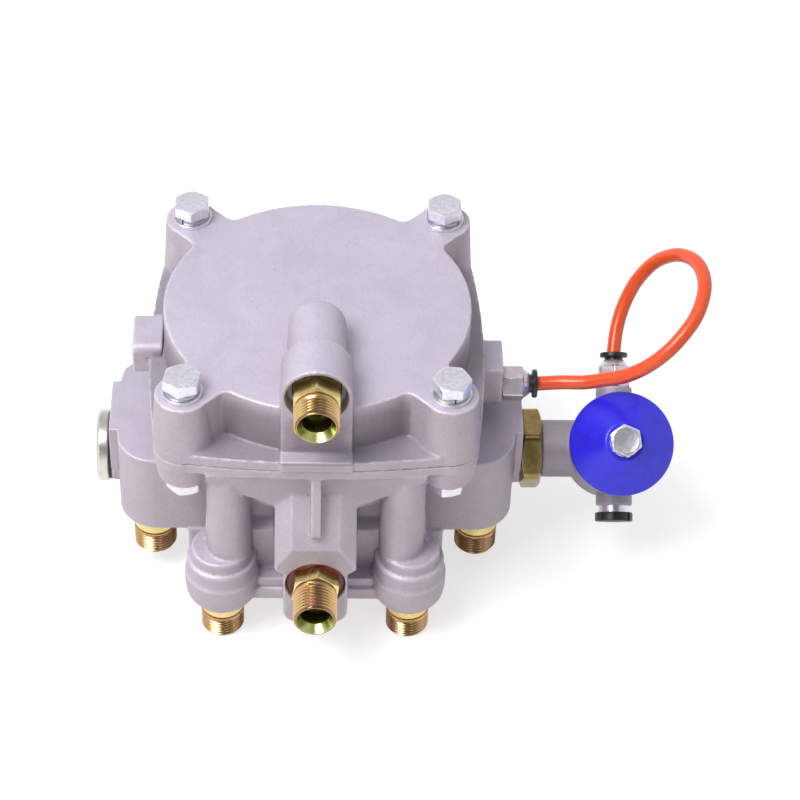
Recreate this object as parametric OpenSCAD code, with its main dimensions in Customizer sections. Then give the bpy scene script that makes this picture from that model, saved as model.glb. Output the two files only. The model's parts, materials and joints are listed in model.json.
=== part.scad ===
// Relay-emergency trailer brake valve with a hand release valve on its right side.
// +Z is up, -Y is the front with the two hose ports, +X points at the release valve.
// The origin is the centre of the exhaust mouth in the underside, on the main piston axis.

/* [Cover] */
// Distance between neighbouring cover bolts
bolt_pitch = 130; // [128:1:133]
// Height of the parting plane between body and cover
parting_z = 100.7; // [98:0.1:108]
// Height of the cover above the parting plane
cover_h = 34.3; // [32:0.1:40]
// Radius of the round top of the cover
cover_r = 77; // [76:0.1:78]
// Thickness of the cover's flange
cover_flange_t = 6; // [5:0.1:9]
// Half width of the flange at the middle of a side
flange_half = 84.6; // [82:0.1:85.5]
// Radius of the bow of each flange side
side_bow_r = 440; // [400:10:800]
// Radius of a bolt lobe at the top of the cover
lobe_r = 13.5; // [13.2:0.1:14]
// Growth of a lobe's radius from top to flange
lobe_draft = 1.8; // [1:0.1:2]
// Fillet between the round wall and a lobe
lobe_fillet = 5; // [3:0.5:7]
// Thickness of the cover's roof
cover_roof_t = 7; // [5:0.1:9]
// Width of the front stiffening rib
rib_w = 5.2; // [4:0.1:8]

/* [Control port] */
// Height of the control port's axis above the cover's top
control_axis_h = 8.7; // [8:0.1:10]
// Radius of the front part of the control boss
control_boss_r = 17.5; // [17:0.1:19]
// Radius of the rear part of the control boss
control_neck_r = 14.3; // [13:0.1:15]
// Distance of the control boss's face in front of the main axis
control_face = 78; // [78:0.1:80]
// Distance of the step between the boss and its neck
control_step = 54; // [50:0.5:58]
// Distance of the neck's rounded end
control_end = 18; // [12:0.5:24]
// Depth of the recess round the control fitting
control_recess = 8; // [6:0.5:9]

/* [Body] */
// Thickness of the body's flange
body_flange_t = 6; // [5:0.1:8]
// Height of a bolt lobe on the body
body_lobe_h = 18.5; // [16:0.1:20.5]
// Radius of the piston bowl's outside
bowl_r = 76.5; // [76:0.1:77.5]
// Height of the bowl's lower edge
bowl_z = 63; // [61:0.5:65]
// Half width of the trunk below the bowl
trunk_half_w = 66; // [64:0.5:68]
// Distance of the trunk's front wall from the main axis
trunk_front = 60; // [58:0.5:62]
// Distance of the trunk's rear wall from the main axis
trunk_back = 60; // [56:0.5:64]
// Height of the front ledge below its slope
ledge_z = 40; // [38:0.5:46]
// Thickness of the bottom plate
plate_t = 13.5; // [12:0.5:15]
// Sideways distance of a front column from the main axis
column_x = 43.5; // [42:0.5:45]
// Radius of a front column
column_r = 11.15; // [10:0.05:12]
// Sideways distance of a front port from the main axis
front_port_x = 47.8; // [46:0.1:49]
// Distance of the front ports and columns in front of the main axis
front_port_y = 70; // [69:0.5:72]
// Radius of a front port ring
port_ring_r = 18.25; // [17:0.05:19]

/* [Supply boss] */
// Distance of the supply port's face in front of the main axis
supply_face = 92; // [90:0.5:96]
// Height of the supply port's axis
supply_z = 27; // [26:0.5:28]
// Width of the supply boss
supply_w = 41; // [38:0.5:42]
// Height of the supply boss's top edge
supply_top = 53; // [51:0.5:55]
// Width of the flat at the top of the supply face
supply_flat = 24; // [22:0.5:26]
// Depth of the recess round the supply fitting
supply_recess = 5; // [4:0.5:7]

/* [Side housings] */
// Distance of a side housing's outer wall from the main axis
side_half = 102; // [100:0.5:104]
// Thickness of the raised collar on a side housing
side_collar_t = 4.5; // [3:0.5:6]
// Distance of a side housing's front wall from the main axis
side_front = 41; // [39:0.5:43]
// Distance of a side housing's rear wall from the main axis
side_back = 34; // [32:0.5:38]
// Height of a side housing's underside
side_z = 14; // [12:0.5:16]
// Height of the side ports' axis
side_axis_z = 34; // [33:0.5:38]
// Distance of a side outlet from the housing's outer wall
side_port_in = 17.7; // [16:0.1:20]
// Distance of a side outlet in front of the main axis
side_port_y = 24; // [22:0.5:26]
// Outward reach of the right hand tube block
right_block_x = 94.7; // [94:0.1:98]
// Outward reach of the left hand block
left_block_x = 93.7; // [92:0.1:98]
// Height of the tube block's axis
block_z = 81; // [80:0.5:82]
// Distance between the two mounting holes in the rear pad
pad_pitch = 70; // [60:1:76]
// Height of the mounting holes
pad_z = 50; // [46:1:54]
// Radius of a mounting hole
pad_hole_r = 5; // [4:0.5:6]

/* [Port fittings] */
// Radius over the threads of a port fitting
port_r = 11; // [10:0.1:11.5]
// Radius of the bore through a port fitting
port_bore_r = 7; // [5:0.5:7.5]
// Width across flats of a port fitting's hexagon
port_hex = 22.5; // [22:0.5:24]
// Length of the thread on the control fitting
control_thread = 13.5; // [12:0.5:18]
// Length of the thread on the supply fitting
supply_thread = 18; // [14:0.5:22]
// Length of the thread on a front outlet
outlet_thread = 13.5; // [12:0.5:20]
// Length of the plain shoulder above that thread
outlet_shoulder = 8; // [5:0.5:10]
// Length of the thread on a side outlet
side_outlet_thread = 14; // [12:0.5:20]
// Length of the plain shoulder of a side outlet
side_outlet_shoulder = 11.5; // [8:0.5:14]
// Thickness of a port seal
port_seal_t = 2; // [1:0.5:3]

/* [Bolts] */
// Radius of a cover bolt's shank
bolt_r = 5; // [4:0.5:6]
// Width across flats of a cover bolt's head
bolt_hex = 17; // [16:0.5:19]
// Height of a bolt head
bolt_head_h = 6.4; // [5:0.1:8]
// Height of a nut
nut_h = 8; // [6:0.5:9]
// Radius of a plain washer
washer_r = 10; // [9.5:0.5:11]
// Thickness of a plain washer
washer_t = 2; // [1.5:0.1:2.5]
// Thickness of a spring washer
spring_washer_t = 2.5; // [2:0.1:3]

/* [Relay mechanism] */
// Radius of the relay piston's bore
piston_bore_r = 68; // [64:0.5:69]
// Thickness of the relay piston
piston_t = 8; // [7:0.5:9]
// Full stroke of the relay piston
relay_stroke = 5; // [4:0.5:6]
// Gap that the piston's stem closes before it opens the inlet
exhaust_gap = 2; // [1.5:0.1:2.2]
// Radius of the piston's stem
stem_r = 10; // [9.5:0.5:10.5]
// Depth of the bowl's floor below the parting plane
bowl_depth = 20.7; // [18:0.1:24]
// Radius of the inlet seat's bore
seat_r = 14; // [13:0.5:15]
// Height of the inlet seat
seat_z = 57; // [56:0.5:58]
// Radius of the valve element's tube
element_r = 11.5; // [11:0.5:12]
// Radius of the hole through the valve element
element_bore_r = 8; // [7:0.5:8.5]
// Radius of the valve element's head
element_head_r = 20; // [19.5:0.5:21]
// Radius of the emergency piston's chamber
chamber_r = 46; // [42:0.5:48]
// Height of the shoulder that stops the emergency piston
chamber_top = 52; // [51:0.5:53]
// Full stroke of the emergency piston
emergency_stroke = 6; // [4:0.5:6]
// Thickness of the bottom guide's disc
guide_t = 8; // [7:0.5:9]
// Outer radius of the guide's sleeve
sleeve_r = 22; // [21:0.5:23]
// Radius of the exhaust mouth
exhaust_r = 14; // [13:0.5:15]

/* [Release valve] */
// Distance of the release valve's centre from the main axis
release_x = 156.5; // [150:0.1:160]
// Tilt of the knob's axis above the horizontal
release_tilt = 49; // [40:1:60]
// Radius of the release valve's body
release_r = 24.5; // [23:0.5:26]
// Half length of the release valve's body
release_half = 24; // [23:0.5:25]
// Radius of the neck that joins it to the side housing
neck_r = 15; // [14:0.5:16]
// Radius of the neck's thread
neck_thread_r = 13; // [12:0.5:13.5]
// Width across flats of the lock nut
lock_nut_hex = 38; // [36:0.5:40]
// Thickness of the lock nut
lock_nut_t = 10.8; // [10:0.1:14]
// Radius of the knob's rim
knob_r = 27; // [25:0.5:30]
// Height of the knob's rim above the valve's centre
knob_z = 38; // [37:0.5:40]
// Height of the knob from rim to its flat top
knob_h = 15; // [12:0.5:18]
// Stroke of the knob
knob_stroke = 8; // [4:0.5:8]
// Radius of the spool's bore
spool_r = 9; // [8:0.5:10]
// Radius of the rod that carries the knob
rod_r = 5; // [4.5:0.1:5.5]
// Radius of the knob bolt's shank
knob_bolt_r = 4; // [3:0.5:4]

/* [Pilot tube] */
// Radius of the pilot tube
tube_r = 3.7; // [3:0.1:4]
// Width across flats of a push-in fitting
push_hex = 16; // [15:0.5:17]
// Radius of a push-in collet's flange
collet_r = 7.3; // [6.5:0.1:8]
// Stroke of a push-in collet
collet_stroke = 1.3; // [0.5:0.1:1.4]

/* [Clearances] */
// Radial clearance of a sliding fit
slide_fit = 0.05; // [0.02:0.01:0.1]
// Clearance of pieces that seat on each other
seat_gap = 0.1; // [0.05:0.05:0.3]
// Clearance of pieces that must not touch
free_gap = 0.3; // [0.2:0.1:0.5]
// Radial gap round the rim of a piston that its seal bridges
rim_gap = 0.4; // [0.3:0.1:0.6]

/* [Hidden] */

$fn = 96;
eps = 0.01;
cast = "#c8c1d2";
zinc = "#d9d9de";
yellow_zinc = "#b9953f";
rubber = "#232224";
steel = "#b8bcc2";

cover_top = parting_z + cover_h;
bolt_at = bolt_pitch / 2;
lobe_base_r = lobe_r + lobe_draft;
bolt_hole_r = bolt_r + 0.5;
control_z = cover_top + control_axis_h;
body_top = parting_z - body_flange_t;
bowl_floor = parting_z - bowl_depth;
chamber_side = cover_top - cover_roof_t;
piston_top = chamber_side - free_gap - 9;
piston_low = piston_top - piston_t;
piston_mid = piston_low + piston_t / 2;
piston_rim = piston_bore_r - rim_gap;
stem_end = seat_z - seat_gap + exhaust_gap;
lobe_low = parting_z - body_lobe_h;
nut_z = lobe_low - washer_t - nut_h;
bolt_tip = nut_z - 2;
guide_z = 4;
guide_top = guide_z + guide_t;
hub_top = guide_top + 12;
element_end = hub_top - relay_stroke - 1;
element_head_z = seat_z - 6;
sleeve_top = element_head_z - relay_stroke;
mouth_l = 8;
emergency_t = 8;
skirt_t = 4;
emergency_top = chamber_top - free_gap;
emergency_low = emergency_top - emergency_t;
emergency_mid = (emergency_low + emergency_top) / 2;
chamber_rim = chamber_r - rim_gap;
side_face = side_half + side_collar_t;
side_port_x = side_half - side_port_in;
collar_r = 18;
plug_r = 18.6;
plug_thread_r = 13;
plug_thread_l = 14;
plug_seal_t = 1.3;
plug_end = 7.5;
push_thread_r = 6.6;
push_body_l = 14.2;
push_total_l = 18.3;
push_socket_l = 9;
collet_wall = 1.1;
top_boss_l = 32.5;
low_boss_l = 30;
stud_l = 11;
control_hex_l = control_recess + 4.5;
supply_hex_l = 8;
supply_seal_t = port_seal_t + 1;
port_seal_r = port_hex / sqrt(3) + 1.2;
thread_lead = 0.9;
cone_depth = 4.6;
mouth_r = 9.4;
narrow_bore_r = port_bore_r - 1.5;
narrow_depth = 14;
outlet_stud = 10;
ring_drop = 3.5;
ring_waist_z = plate_t + 3.5;
ring_step_z = 2 * plate_t - 0.6;
ring_top_z = ring_step_z + 6.8;
trunk_neck_w = trunk_half_w - 14;
ledge_rise = 4.5;
foot_h = 7.5;
foot_y = front_port_y + 7;
panel_back = 12;
panel_rise = 26;
panel_y = supply_face - panel_back;
panel_z = supply_top + panel_rise;
facet_back = 6;
supply_neck_w = 16.3;
supply_neck_z = 34.5;
supply_foot_z = -1.5;
supply_foot_r = 8.5;
skirt_half = 54;
skirt_low_half = 20.8;
skirt_z = bowl_z + 5.5;
notch_x = cover_r + 0.9;
notch_front = 10.4;
notch_back = 21;
left_block_front = 4.5;
left_block_back = notch_back - 1;
left_block_low = body_top - 3.7;
left_block_top = parting_z + 7.3;
right_block_front = 9.5;
right_block_back = 14;
// Turns of the bolt heads: front left, rear left, front right, rear right
head_turns = [-9, 0, 30, 0];
knob_washer_t = 1;
knob_hex = 15;
knob_washer_r = 7.8;
knob_head_h = 6;
seal_w = 3;
seal_h = 2;
inner_seal_w = 2.5;
spool_top = release_half - 11 - free_gap;
spool_floor = 4;
spool_low = spool_floor + knob_stroke + 0.5 - release_half;
land_l = 8;
low_seal = spool_low + 3;
top_seal = spool_top - 3 - seal_h;
spool_land = spool_r - slide_fit;
spool_groove = 1.6;
stem_top = knob_z + knob_h - 3.4;

// Points of the pilot tube, from inside the side fitting to inside the top fitting
tube_points = [
    [105.4, 0, 81], [109.4, 0, 81], [113.4, 0, 81], [125, -0.5, 82.5], [137, -3.5, 85.5], [147, -6.5, 90.5],
    [157, -9.5, 96], [167, -11, 104], [175.5, -10, 112], [183, -6, 119], [190.5, 2, 125.5],
    [195, 12.5, 130], [196.5, 23.5, 132], [195, 35.5, 131.5], [191, 46, 128], [185, 54, 122.5],
    [177.5, 60, 113.5], [171.5, 62, 104], [166, 60.5, 94.5], [161, 55, 84], [158, 47.5, 75.5],
    [156.5, 38.7, 67.7], [156.5, 35.7, 65], [156.5, 32.7, 62.4]
];
tube_up = [0, -0.67, 0.74];

function unit(v) = v / norm(v);

// A tube of radius r swept along a list of points, its rings set square to the path
module swept_tube(path, r, sides, up) {
    n = len(path);
    rings = [
        for (i = [0 : n - 1])
        let (t = unit(path[min(i + 1, n - 1)] - path[max(i - 1, 0)]))
        let (a = unit(cross(t, up)))
        let (b = cross(t, a))
        for (j = [0 : sides - 1])
        path[i] + r * (cos(360 * j / sides) * a + sin(360 * j / sides) * b)
    ];
    walls = [
        for (i = [0 : n - 2])
        for (j = [0 : sides - 1])
        let (k = (j + 1) % sides)
        [i * sides + j, (i + 1) * sides + j, (i + 1) * sides + k, i * sides + k]
    ];
    first = [for (j = [0 : sides - 1]) j];
    last = [for (j = [sides - 1 : -1 : 0]) (n - 1) * sides + j];
    polyhedron(points = rings, faces = concat(walls, [first], [last]), convexity = 8);
}

// A compression spring between two heights, its end turns closed and lying flat
module coil_spring(mean_r, wire_r, z_low, z_high, turns) {
    steps = 12;
    count = (turns + 2) * steps;
    low = z_low + wire_r;
    high = z_high - wire_r;
    path = [
        for (i = [0 : count])
        let (share = min(max((i - steps) / (count - 2 * steps), 0), 1))
        [mean_r * cos(360 * i / steps), mean_r * sin(360 * i / steps), low + share * (high - low)]
    ];
    swept_tube(path, wire_r, 6, [0, 0, 1]);
}

module ring(r_in, r_out, z, h) {
    translate([0, 0, z])
        rotate_extrude()
            translate([r_in, 0])
                square([r_out - r_in, h]);
}

// A hexagon whose corners are turned off by a cone at one or both ends
module hexagon(flats, z, h, low_cone = true, high_cone = true) {
    corner = flats / sqrt(3);
    cone = (corner - flats / 2) * 0.7;
    intersection() {
        translate([0, 0, z])
            rotate([0, 0, 30])
                cylinder(r = corner, h = h, $fn = 6);
        rotate_extrude()
            polygon([
                [0, z],
                [low_cone ? corner - 2 * cone : corner + 1, z],
                [corner + (low_cone ? 0.3 : 1), z + (low_cone ? cone : 0)],
                [corner + (high_cone ? 0.3 : 1), z + h - (high_cone ? cone : 0)],
                [high_cone ? corner - 2 * cone : corner + 1, z + h],
                [0, z + h]
            ]);
    }
}

module at_bolts() {
    for (x = [-1, 1])
        for (y = [-1, 1]) {
            $corner = x + 1 + (y + 1) / 2;
            translate([x * bolt_at, y * bolt_at, 0])
                children();
        }
}

module mirrored() {
    for (side = [0, 1])
        mirror([side, 0, 0])
            children();
}

// Places a child so that its +Z points forward out of a port at distance d and height z
module facing_front(d, z) {
    translate([0, -d, z])
        rotate([90, 0, 0])
            children();
}

// Places a child so that its +Z points to the right
module facing_right(d, y, z) {
    translate([d, y, z])
        rotate([0, 90, 0])
            children();
}

// Outline of the flange: four bowed sides joined by round bolt lobes
module flange_outline() {
    for (x = [-1, 1])
        for (y = [-1, 1])
            translate([x * bolt_at, y * bolt_at])
                circle(r = lobe_base_r);
    intersection() {
        translate([0, side_bow_r - flange_half])
            circle(r = side_bow_r, $fn = 200);
        translate([0, flange_half - side_bow_r])
            circle(r = side_bow_r, $fn = 200);
        translate([side_bow_r - flange_half, 0])
            circle(r = side_bow_r, $fn = 200);
        translate([flange_half - side_bow_r, 0])
            circle(r = side_bow_r, $fn = 200);
        rotate([0, 0, 45])
            square((bolt_at + 7.5) * 2 * sqrt(2), center = true);
    }
}

// Outline of the cover above its flange: a disc with four arms out to the bolts
module cover_outline() {
    reach = bolt_at * sqrt(2);
    arm = lobe_r - 0.3;
    along = sqrt(pow(cover_r + lobe_fillet, 2) - pow(arm + lobe_fillet, 2));
    touch = cover_r / (cover_r + lobe_fillet);
    circle(r = cover_r, $fn = 180);
    for (turn = [45 : 90 : 315])
        rotate([0, 0, turn]) {
            translate([reach, 0])
                circle(r = lobe_r);
            translate([0, -arm])
                square([reach, 2 * arm]);
            for (side = [-1, 1])
                difference() {
                    polygon([
                        [along * 0.8, 0],
                        [along * touch, side * (arm + lobe_fillet) * touch],
                        [along, side * (arm + lobe_fillet)],
                        [along, 0]
                    ]);
                    translate([along, side * (arm + lobe_fillet)])
                        circle(r = lobe_fillet, $fn = 48);
                }
        }
}

// The control boss lies on the roof: a wide front part, a step and a rounded neck
module control_boss() {
    neck_l = control_step - control_end;
    round_r = 9;
    base = cover_top - 2;
    facing_front(control_step, control_z)
        cylinder(r = control_boss_r, h = control_face - control_step);
    translate([-control_boss_r, -control_face, parting_z + cover_flange_t / 2])
        cube([2 * control_boss_r, 12, control_z - parting_z - cover_flange_t / 2]);
    translate([-control_boss_r, -control_face, base])
        cube([2 * control_boss_r, control_face - control_step, control_z - base]);
    translate([-control_boss_r, -flange_half - 0.8, parting_z])
        cube([2 * control_boss_r, 20, cover_flange_t + 1.2]);
    facing_front(control_end, control_z)
        rotate_extrude() {
            square([control_neck_r - round_r, neck_l + 1]);
            translate([0, round_r])
                square([control_neck_r, neck_l + 1 - round_r]);
            translate([control_neck_r - round_r, round_r])
                intersection() {
                    circle(r = round_r, $fn = 64);
                    translate([0, -round_r])
                        square(round_r);
                }
        }
    translate([-control_neck_r, -control_step - 1, base])
        cube([2 * control_neck_r, neck_l + 1 - round_r, control_z - base]);
    translate([0, -control_end - control_neck_r, base])
        cylinder(r = control_neck_r, h = control_z - base);
}

module top_cover() {
    color(cast)
        difference() {
            union() {
                translate([0, 0, parting_z])
                    linear_extrude(cover_flange_t)
                        flange_outline();
                translate([0, 0, parting_z + 1])
                    linear_extrude(cover_h - 1)
                        cover_outline();
                at_bolts()
                    translate([0, 0, parting_z + cover_flange_t])
                        cylinder(r1 = lobe_base_r - 0.2, r2 = lobe_r, h = cover_h - cover_flange_t);
                control_boss();
            }
            translate([0, 0, parting_z - 1])
                cylinder(r = piston_bore_r, h = chamber_side - parting_z + 1, $fn = 180);
            at_bolts()
                translate([0, 0, parting_z - 1])
                    cylinder(r = bolt_hole_r, h = cover_h + 2, $fn = 48);
            facing_front(control_face - control_recess, control_z)
                cylinder(r = port_hex / sqrt(3) + 2.3, h = control_recess + 1);
            facing_front(control_face - control_recess - 14, control_z)
                cylinder(r = port_r, h = 15);
            facing_front(34, control_z)
                cylinder(r = port_bore_r, h = control_face - 34);
            translate([0, -40, chamber_side - 1])
                cylinder(r = 5, h = control_z - chamber_side + 1, $fn = 48);
            translate([-flange_half - 1, -notch_front, parting_z - 1])
                cube([flange_half + 1 - notch_x, notch_front + notch_back, cover_flange_t + 2]);
        }
}

// The supply boss seen from the front: a wide slanted column above a narrower rounded foot
module supply_outline() {
    half = supply_w / 2;
    flat = supply_flat / 2;
    polygon([
        [-supply_neck_w, supply_neck_z], [-half, supply_neck_z + 3.5], [-half, panel_z - half + flat],
        [-flat, panel_z], [flat, panel_z], [half, panel_z - half + flat], [half, supply_neck_z + 3.5],
        [supply_neck_w, supply_neck_z]
    ]);
    translate([-supply_neck_w, supply_foot_z + supply_foot_r])
        square([2 * supply_neck_w, supply_neck_z + 1 - supply_foot_z - supply_foot_r]);
    translate([-supply_neck_w + supply_foot_r, supply_foot_z])
        square([2 * (supply_neck_w - supply_foot_r), supply_foot_r + 1]);
    for (side = [-1, 1])
        translate([side * (supply_neck_w - supply_foot_r), supply_foot_z + supply_foot_r])
            circle(r = supply_foot_r, $fn = 64);
}

module supply_boss() {
    back = trunk_front - 6;
    // Normal of the facet beside the slanted panel, from two directions that lie in the facet
    across = [(supply_w - supply_flat) / 2, facet_back, 0];
    slope = [0, panel_back, panel_rise];
    normal = cross(across, slope);
    tilt = acos(normal[2] / norm(normal));
    turn = atan2(normal[1], normal[0]);
    difference() {
        intersection() {
            rotate([90, 0, 90])
                translate([0, 0, -supply_w])
                    linear_extrude(2 * supply_w)
                        polygon([
                            [-back, supply_foot_z - 1], [-supply_face, supply_foot_z - 1],
                            [-supply_face, supply_top], [-panel_y, panel_z], [-panel_y, panel_z + 1],
                            [-back, panel_z + 1]
                        ]);
            translate([0, 1 - back, 0])
                rotate([90, 0, 0])
                    linear_extrude(supply_face - back + 2)
                        supply_outline();
        }
        mirrored()
            translate([supply_flat / 2, -supply_face, supply_top])
                rotate([0, tilt, turn])
                    translate([-supply_w, -supply_face, 0])
                        cube([2 * supply_w, 2 * supply_face, supply_w]);
    }
}

module front_rib() {
    root = trunk_front + 10;
    end_z = supply_top + 7.4;
    rotate([90, 0, 90])
        translate([0, 0, -rib_w / 2])
            linear_extrude(rib_w)
                polygon([
                    [-root, body_top + 2], [-flange_half + 0.6, body_top + 2],
                    [-flange_half + 0.3, body_top - 0.5],
                    [-supply_face - 0.5, end_z + 3.6], [-supply_face - 0.6, end_z + 1.9],
                    [-supply_face + 0.4, end_z + 0.5], [-supply_face + 2, end_z], [-root, end_z]
                ]);
}

// The web below the front of the flange, wide at the flange and narrow at the boss
module front_skirt() {
    root = trunk_front + 2;
    intersection() {
        translate([0, 1 - root, 0])
            rotate([90, 0, 0])
                linear_extrude(flange_half - root + 2)
                    polygon([
                        [-skirt_half, body_top + 1], [-skirt_half, body_top - 4.2],
                        [-skirt_low_half, skirt_z],
                        [skirt_low_half, skirt_z], [skirt_half, body_top - 4.2], [skirt_half, body_top + 1]
                    ]);
        rotate([90, 0, 90])
            translate([0, 0, -skirt_half - 1])
                linear_extrude(2 * skirt_half + 2)
                    polygon([
                        [-root, bowl_z - 1], [-bowl_r + 0.5, bowl_z - 1], [-flange_half + 2.3, body_top],
                        [-flange_half + 2.3, body_top + 2], [-root, body_top + 2]
                    ]);
    }
}

module side_outline() {
    corner = 20;
    rear = 12;
    translate([40, -side_front])
        square([side_half - corner - 40, side_front + side_back]);
    translate([40, -side_front + corner])
        square([side_half - 40, side_front + side_back - corner - rear]);
    translate([side_half - corner, -side_front + corner])
        circle(r = corner);
    translate([side_half - rear - 20, side_back - rear - 1])
        square([20, rear + 1]);
    translate([side_half - rear, side_back - rear])
        circle(r = rear);
}

module side_housing() {
    translate([0, 0, side_z])
        linear_extrude(bowl_z - side_z)
            side_outline();
    facing_right(side_half - 5, 0, side_axis_z)
        cylinder(r = collar_r, h = side_collar_t + 5);
    translate([side_half - 5, -collar_r, side_axis_z])
        cube([side_collar_t + 5, 2 * collar_r, bowl_z - side_axis_z]);
}

// The stepped cast ring that carries a front outlet
module port_ring() {
    wide = port_ring_r + 0.6;
    rotate_extrude()
        polygon([
            [0, -ring_drop], [port_r + 1.2, -ring_drop], [wide - 3.3, -ring_drop + 2], [wide - 0.8, 2.5],
            [wide, 8], [wide, ring_waist_z - 0.6], [wide - 0.7, ring_waist_z], [wide - 1.2, ring_waist_z],
            [wide - 1.2, ring_step_z - 0.8], [wide - 2, ring_step_z], [wide - 3.6, ring_step_z],
            [wide - 3.6, ring_top_z - 0.6], [wide - 4.2, ring_top_z], [0, ring_top_z]
        ]);
}

// A cast block beside the flange, its front edge rounded at the top or at the bottom
module front_block(x_low, x_high, y_low, y_high, z_low, z_high, corner, at_top) {
    round_z = at_top ? z_high - corner : z_low + corner;
    rotate([90, 0, 90])
        translate([0, 0, x_low])
            linear_extrude(x_high - x_low) {
                translate([y_low + corner, z_low])
                    square([y_high - y_low - corner, z_high - z_low]);
                translate([y_low, at_top ? z_low : round_z])
                    square([corner + 1, z_high - z_low - corner]);
                translate([y_low + corner, round_z])
                    circle(r = corner);
            }
}

module body_shape() {
    translate([0, 0, body_top])
        linear_extrude(body_flange_t)
            flange_outline();
    at_bolts()
        translate([0, 0, lobe_low])
            cylinder(r1 = lobe_base_r - 1.9, r2 = lobe_base_r - 0.2, h = body_top + 1 - lobe_low);
    translate([0, 0, bowl_z])
        cylinder(r1 = bowl_r - 1, r2 = bowl_r, h = body_top - bowl_z + 1, $fn = 180);
    translate([-trunk_half_w, -side_front - 1.5, 0])
        cube([2 * trunk_half_w, side_front + 1.5 + trunk_back, side_z + 1]);
    translate([-trunk_neck_w, -trunk_front, 0])
        cube([2 * trunk_neck_w, trunk_front + trunk_back, bowl_z + 2]);
    rotate([90, 0, 90])
        translate([0, 0, -front_port_x - 8])
            linear_extrude(2 * front_port_x + 16)
                polygon([
                    [-trunk_front + 6, 0], [-trunk_front - 6, 0], [-trunk_front - 6, ledge_z],
                    [-trunk_front, ledge_z + ledge_rise], [-trunk_front + 6, ledge_z + ledge_rise]
                ]);
    translate([-front_port_x - 10, -front_port_y - 5, 0])
        cube([2 * front_port_x + 20, 24, plate_t]);
    translate([-front_port_x - 10, -foot_y, 0])
        cube([2 * front_port_x + 20, foot_y - trunk_front + 6, foot_h]);
    mirrored() {
        translate([front_port_x, -front_port_y, 0])
            port_ring();
        translate([column_x, -front_port_y, 2 * plate_t])
            cylinder(r = column_r, h = body_top + 2 - 2 * plate_t);
        side_housing();
    }
    supply_boss();
    front_rib();
    front_skirt();
    front_block(bowl_r - 16, right_block_x, -right_block_front, right_block_back,
        block_z - 9.8, parting_z - 2.2, 6.5, false);
    mirror([1, 0, 0])
        front_block(notch_x + free_gap, left_block_x, -left_block_front, left_block_back,
            left_block_low, left_block_top, 4, true);
    translate([-pad_pitch / 2 - 15, trunk_back - 4, pad_z - 26])
        cube([pad_pitch + 30, 22, 52]);
}

// The stepped room inside the body, turned about the main axis
module body_rooms() {
    rotate_extrude($fn = 180)
        polygon([
            [0, parting_z + 1], [piston_bore_r, parting_z + 1], [piston_bore_r, bowl_floor],
            [seat_r, bowl_floor], [seat_r, seat_z], [seat_r + 2, seat_z], [seat_r + 2, seat_z + 3],
            [chamber_r - 8, seat_z + 3], [chamber_r - 8, chamber_top], [chamber_r, chamber_top],
            [chamber_r, guide_z], [chamber_r + 2, guide_z], [chamber_r + 2, guide_z - 2],
            [chamber_r, guide_z - 2], [chamber_r, -1], [0, -1]
        ]);
}

module main_body() {
    color(cast)
        difference() {
            body_shape();
            body_rooms();
            ring(piston_bore_r + 2, piston_bore_r + 2 + seal_w, parting_z - seal_h, seal_h + 1);
            at_bolts() {
                translate([0, 0, lobe_low - 1])
                    cylinder(r = bolt_hole_r, h = body_lobe_h + 2, $fn = 48);
                // Room for a washer and a nut where the bowl is made wide
                translate([0, 0, bolt_tip])
                    cylinder(r = washer_r + free_gap, h = lobe_low - bolt_tip);
            }
            facing_front(supply_face - supply_recess, supply_z)
                cylinder(r = port_seal_r + 1, h = supply_recess + 1);
            facing_front(supply_face - supply_recess - 14, supply_z)
                cylinder(r = port_r, h = 15);
            facing_front(chamber_r - 4, supply_z)
                cylinder(r = port_bore_r, h = supply_face - chamber_r);
            mirrored() {
                translate([front_port_x, -front_port_y, -ring_drop - 1])
                    cylinder(r = port_r, h = ring_drop + 13);
                translate([front_port_x, -front_port_y, 11])
                    cylinder(r = port_bore_r, h = 12);
                translate([side_port_x, -side_port_y, side_z - 1])
                    cylinder(r = port_r, h = 13);
                translate([side_port_x, -side_port_y, side_z + 11])
                    cylinder(r = port_bore_r, h = 16);
                facing_right(side_face - 30, 0, side_axis_z)
                    cylinder(r = plug_thread_r, h = 31);
            }
            facing_right(right_block_x - 12, 0, block_z)
                cylinder(r = push_thread_r + slide_fit, h = 13);
            facing_right(piston_bore_r - 4, 0, block_z + 3)
                cylinder(r = 2.5, h = right_block_x - piston_bore_r - 4, $fn = 32);
            for (x = [-1, 1])
                translate([x * pad_pitch / 2, trunk_back + 18 + 1, pad_z])
                    rotate([90, 0, 0])
                        cylinder(r = pad_hole_r, h = 19, $fn = 48);
        }
}

module cover_seal() {
    color(rubber)
        ring(piston_bore_r + 2, piston_bore_r + 2 + seal_w, parting_z - seal_h, seal_h);
}

module cover_bolts() {
    head_z = cover_top + washer_t + spring_washer_t;
    color(zinc)
        at_bolts() {
            rotate([0, 0, head_turns[$corner]])
                hexagon(bolt_hex, head_z, bolt_head_h, false, true);
            translate([0, 0, bolt_tip])
                cylinder(r = bolt_r, h = head_z - bolt_tip + 1, $fn = 48);
        }
}

module flat_washers() {
    color(zinc)
        at_bolts() {
            ring(bolt_r + slide_fit, washer_r, cover_top, washer_t);
            ring(bolt_r + slide_fit, washer_r, lobe_low - washer_t, washer_t);
        }
}

module spring_washers() {
    color(steel)
        at_bolts()
            difference() {
                ring(bolt_r + slide_fit, washer_r - 1, cover_top + washer_t, spring_washer_t);
                translate([0, 0, cover_top + washer_t - 1])
                    rotate([0, 0, 200])
                        translate([0, -0.5, 0])
                            cube([washer_r + 1, 1, spring_washer_t + 2]);
            }
}

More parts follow.
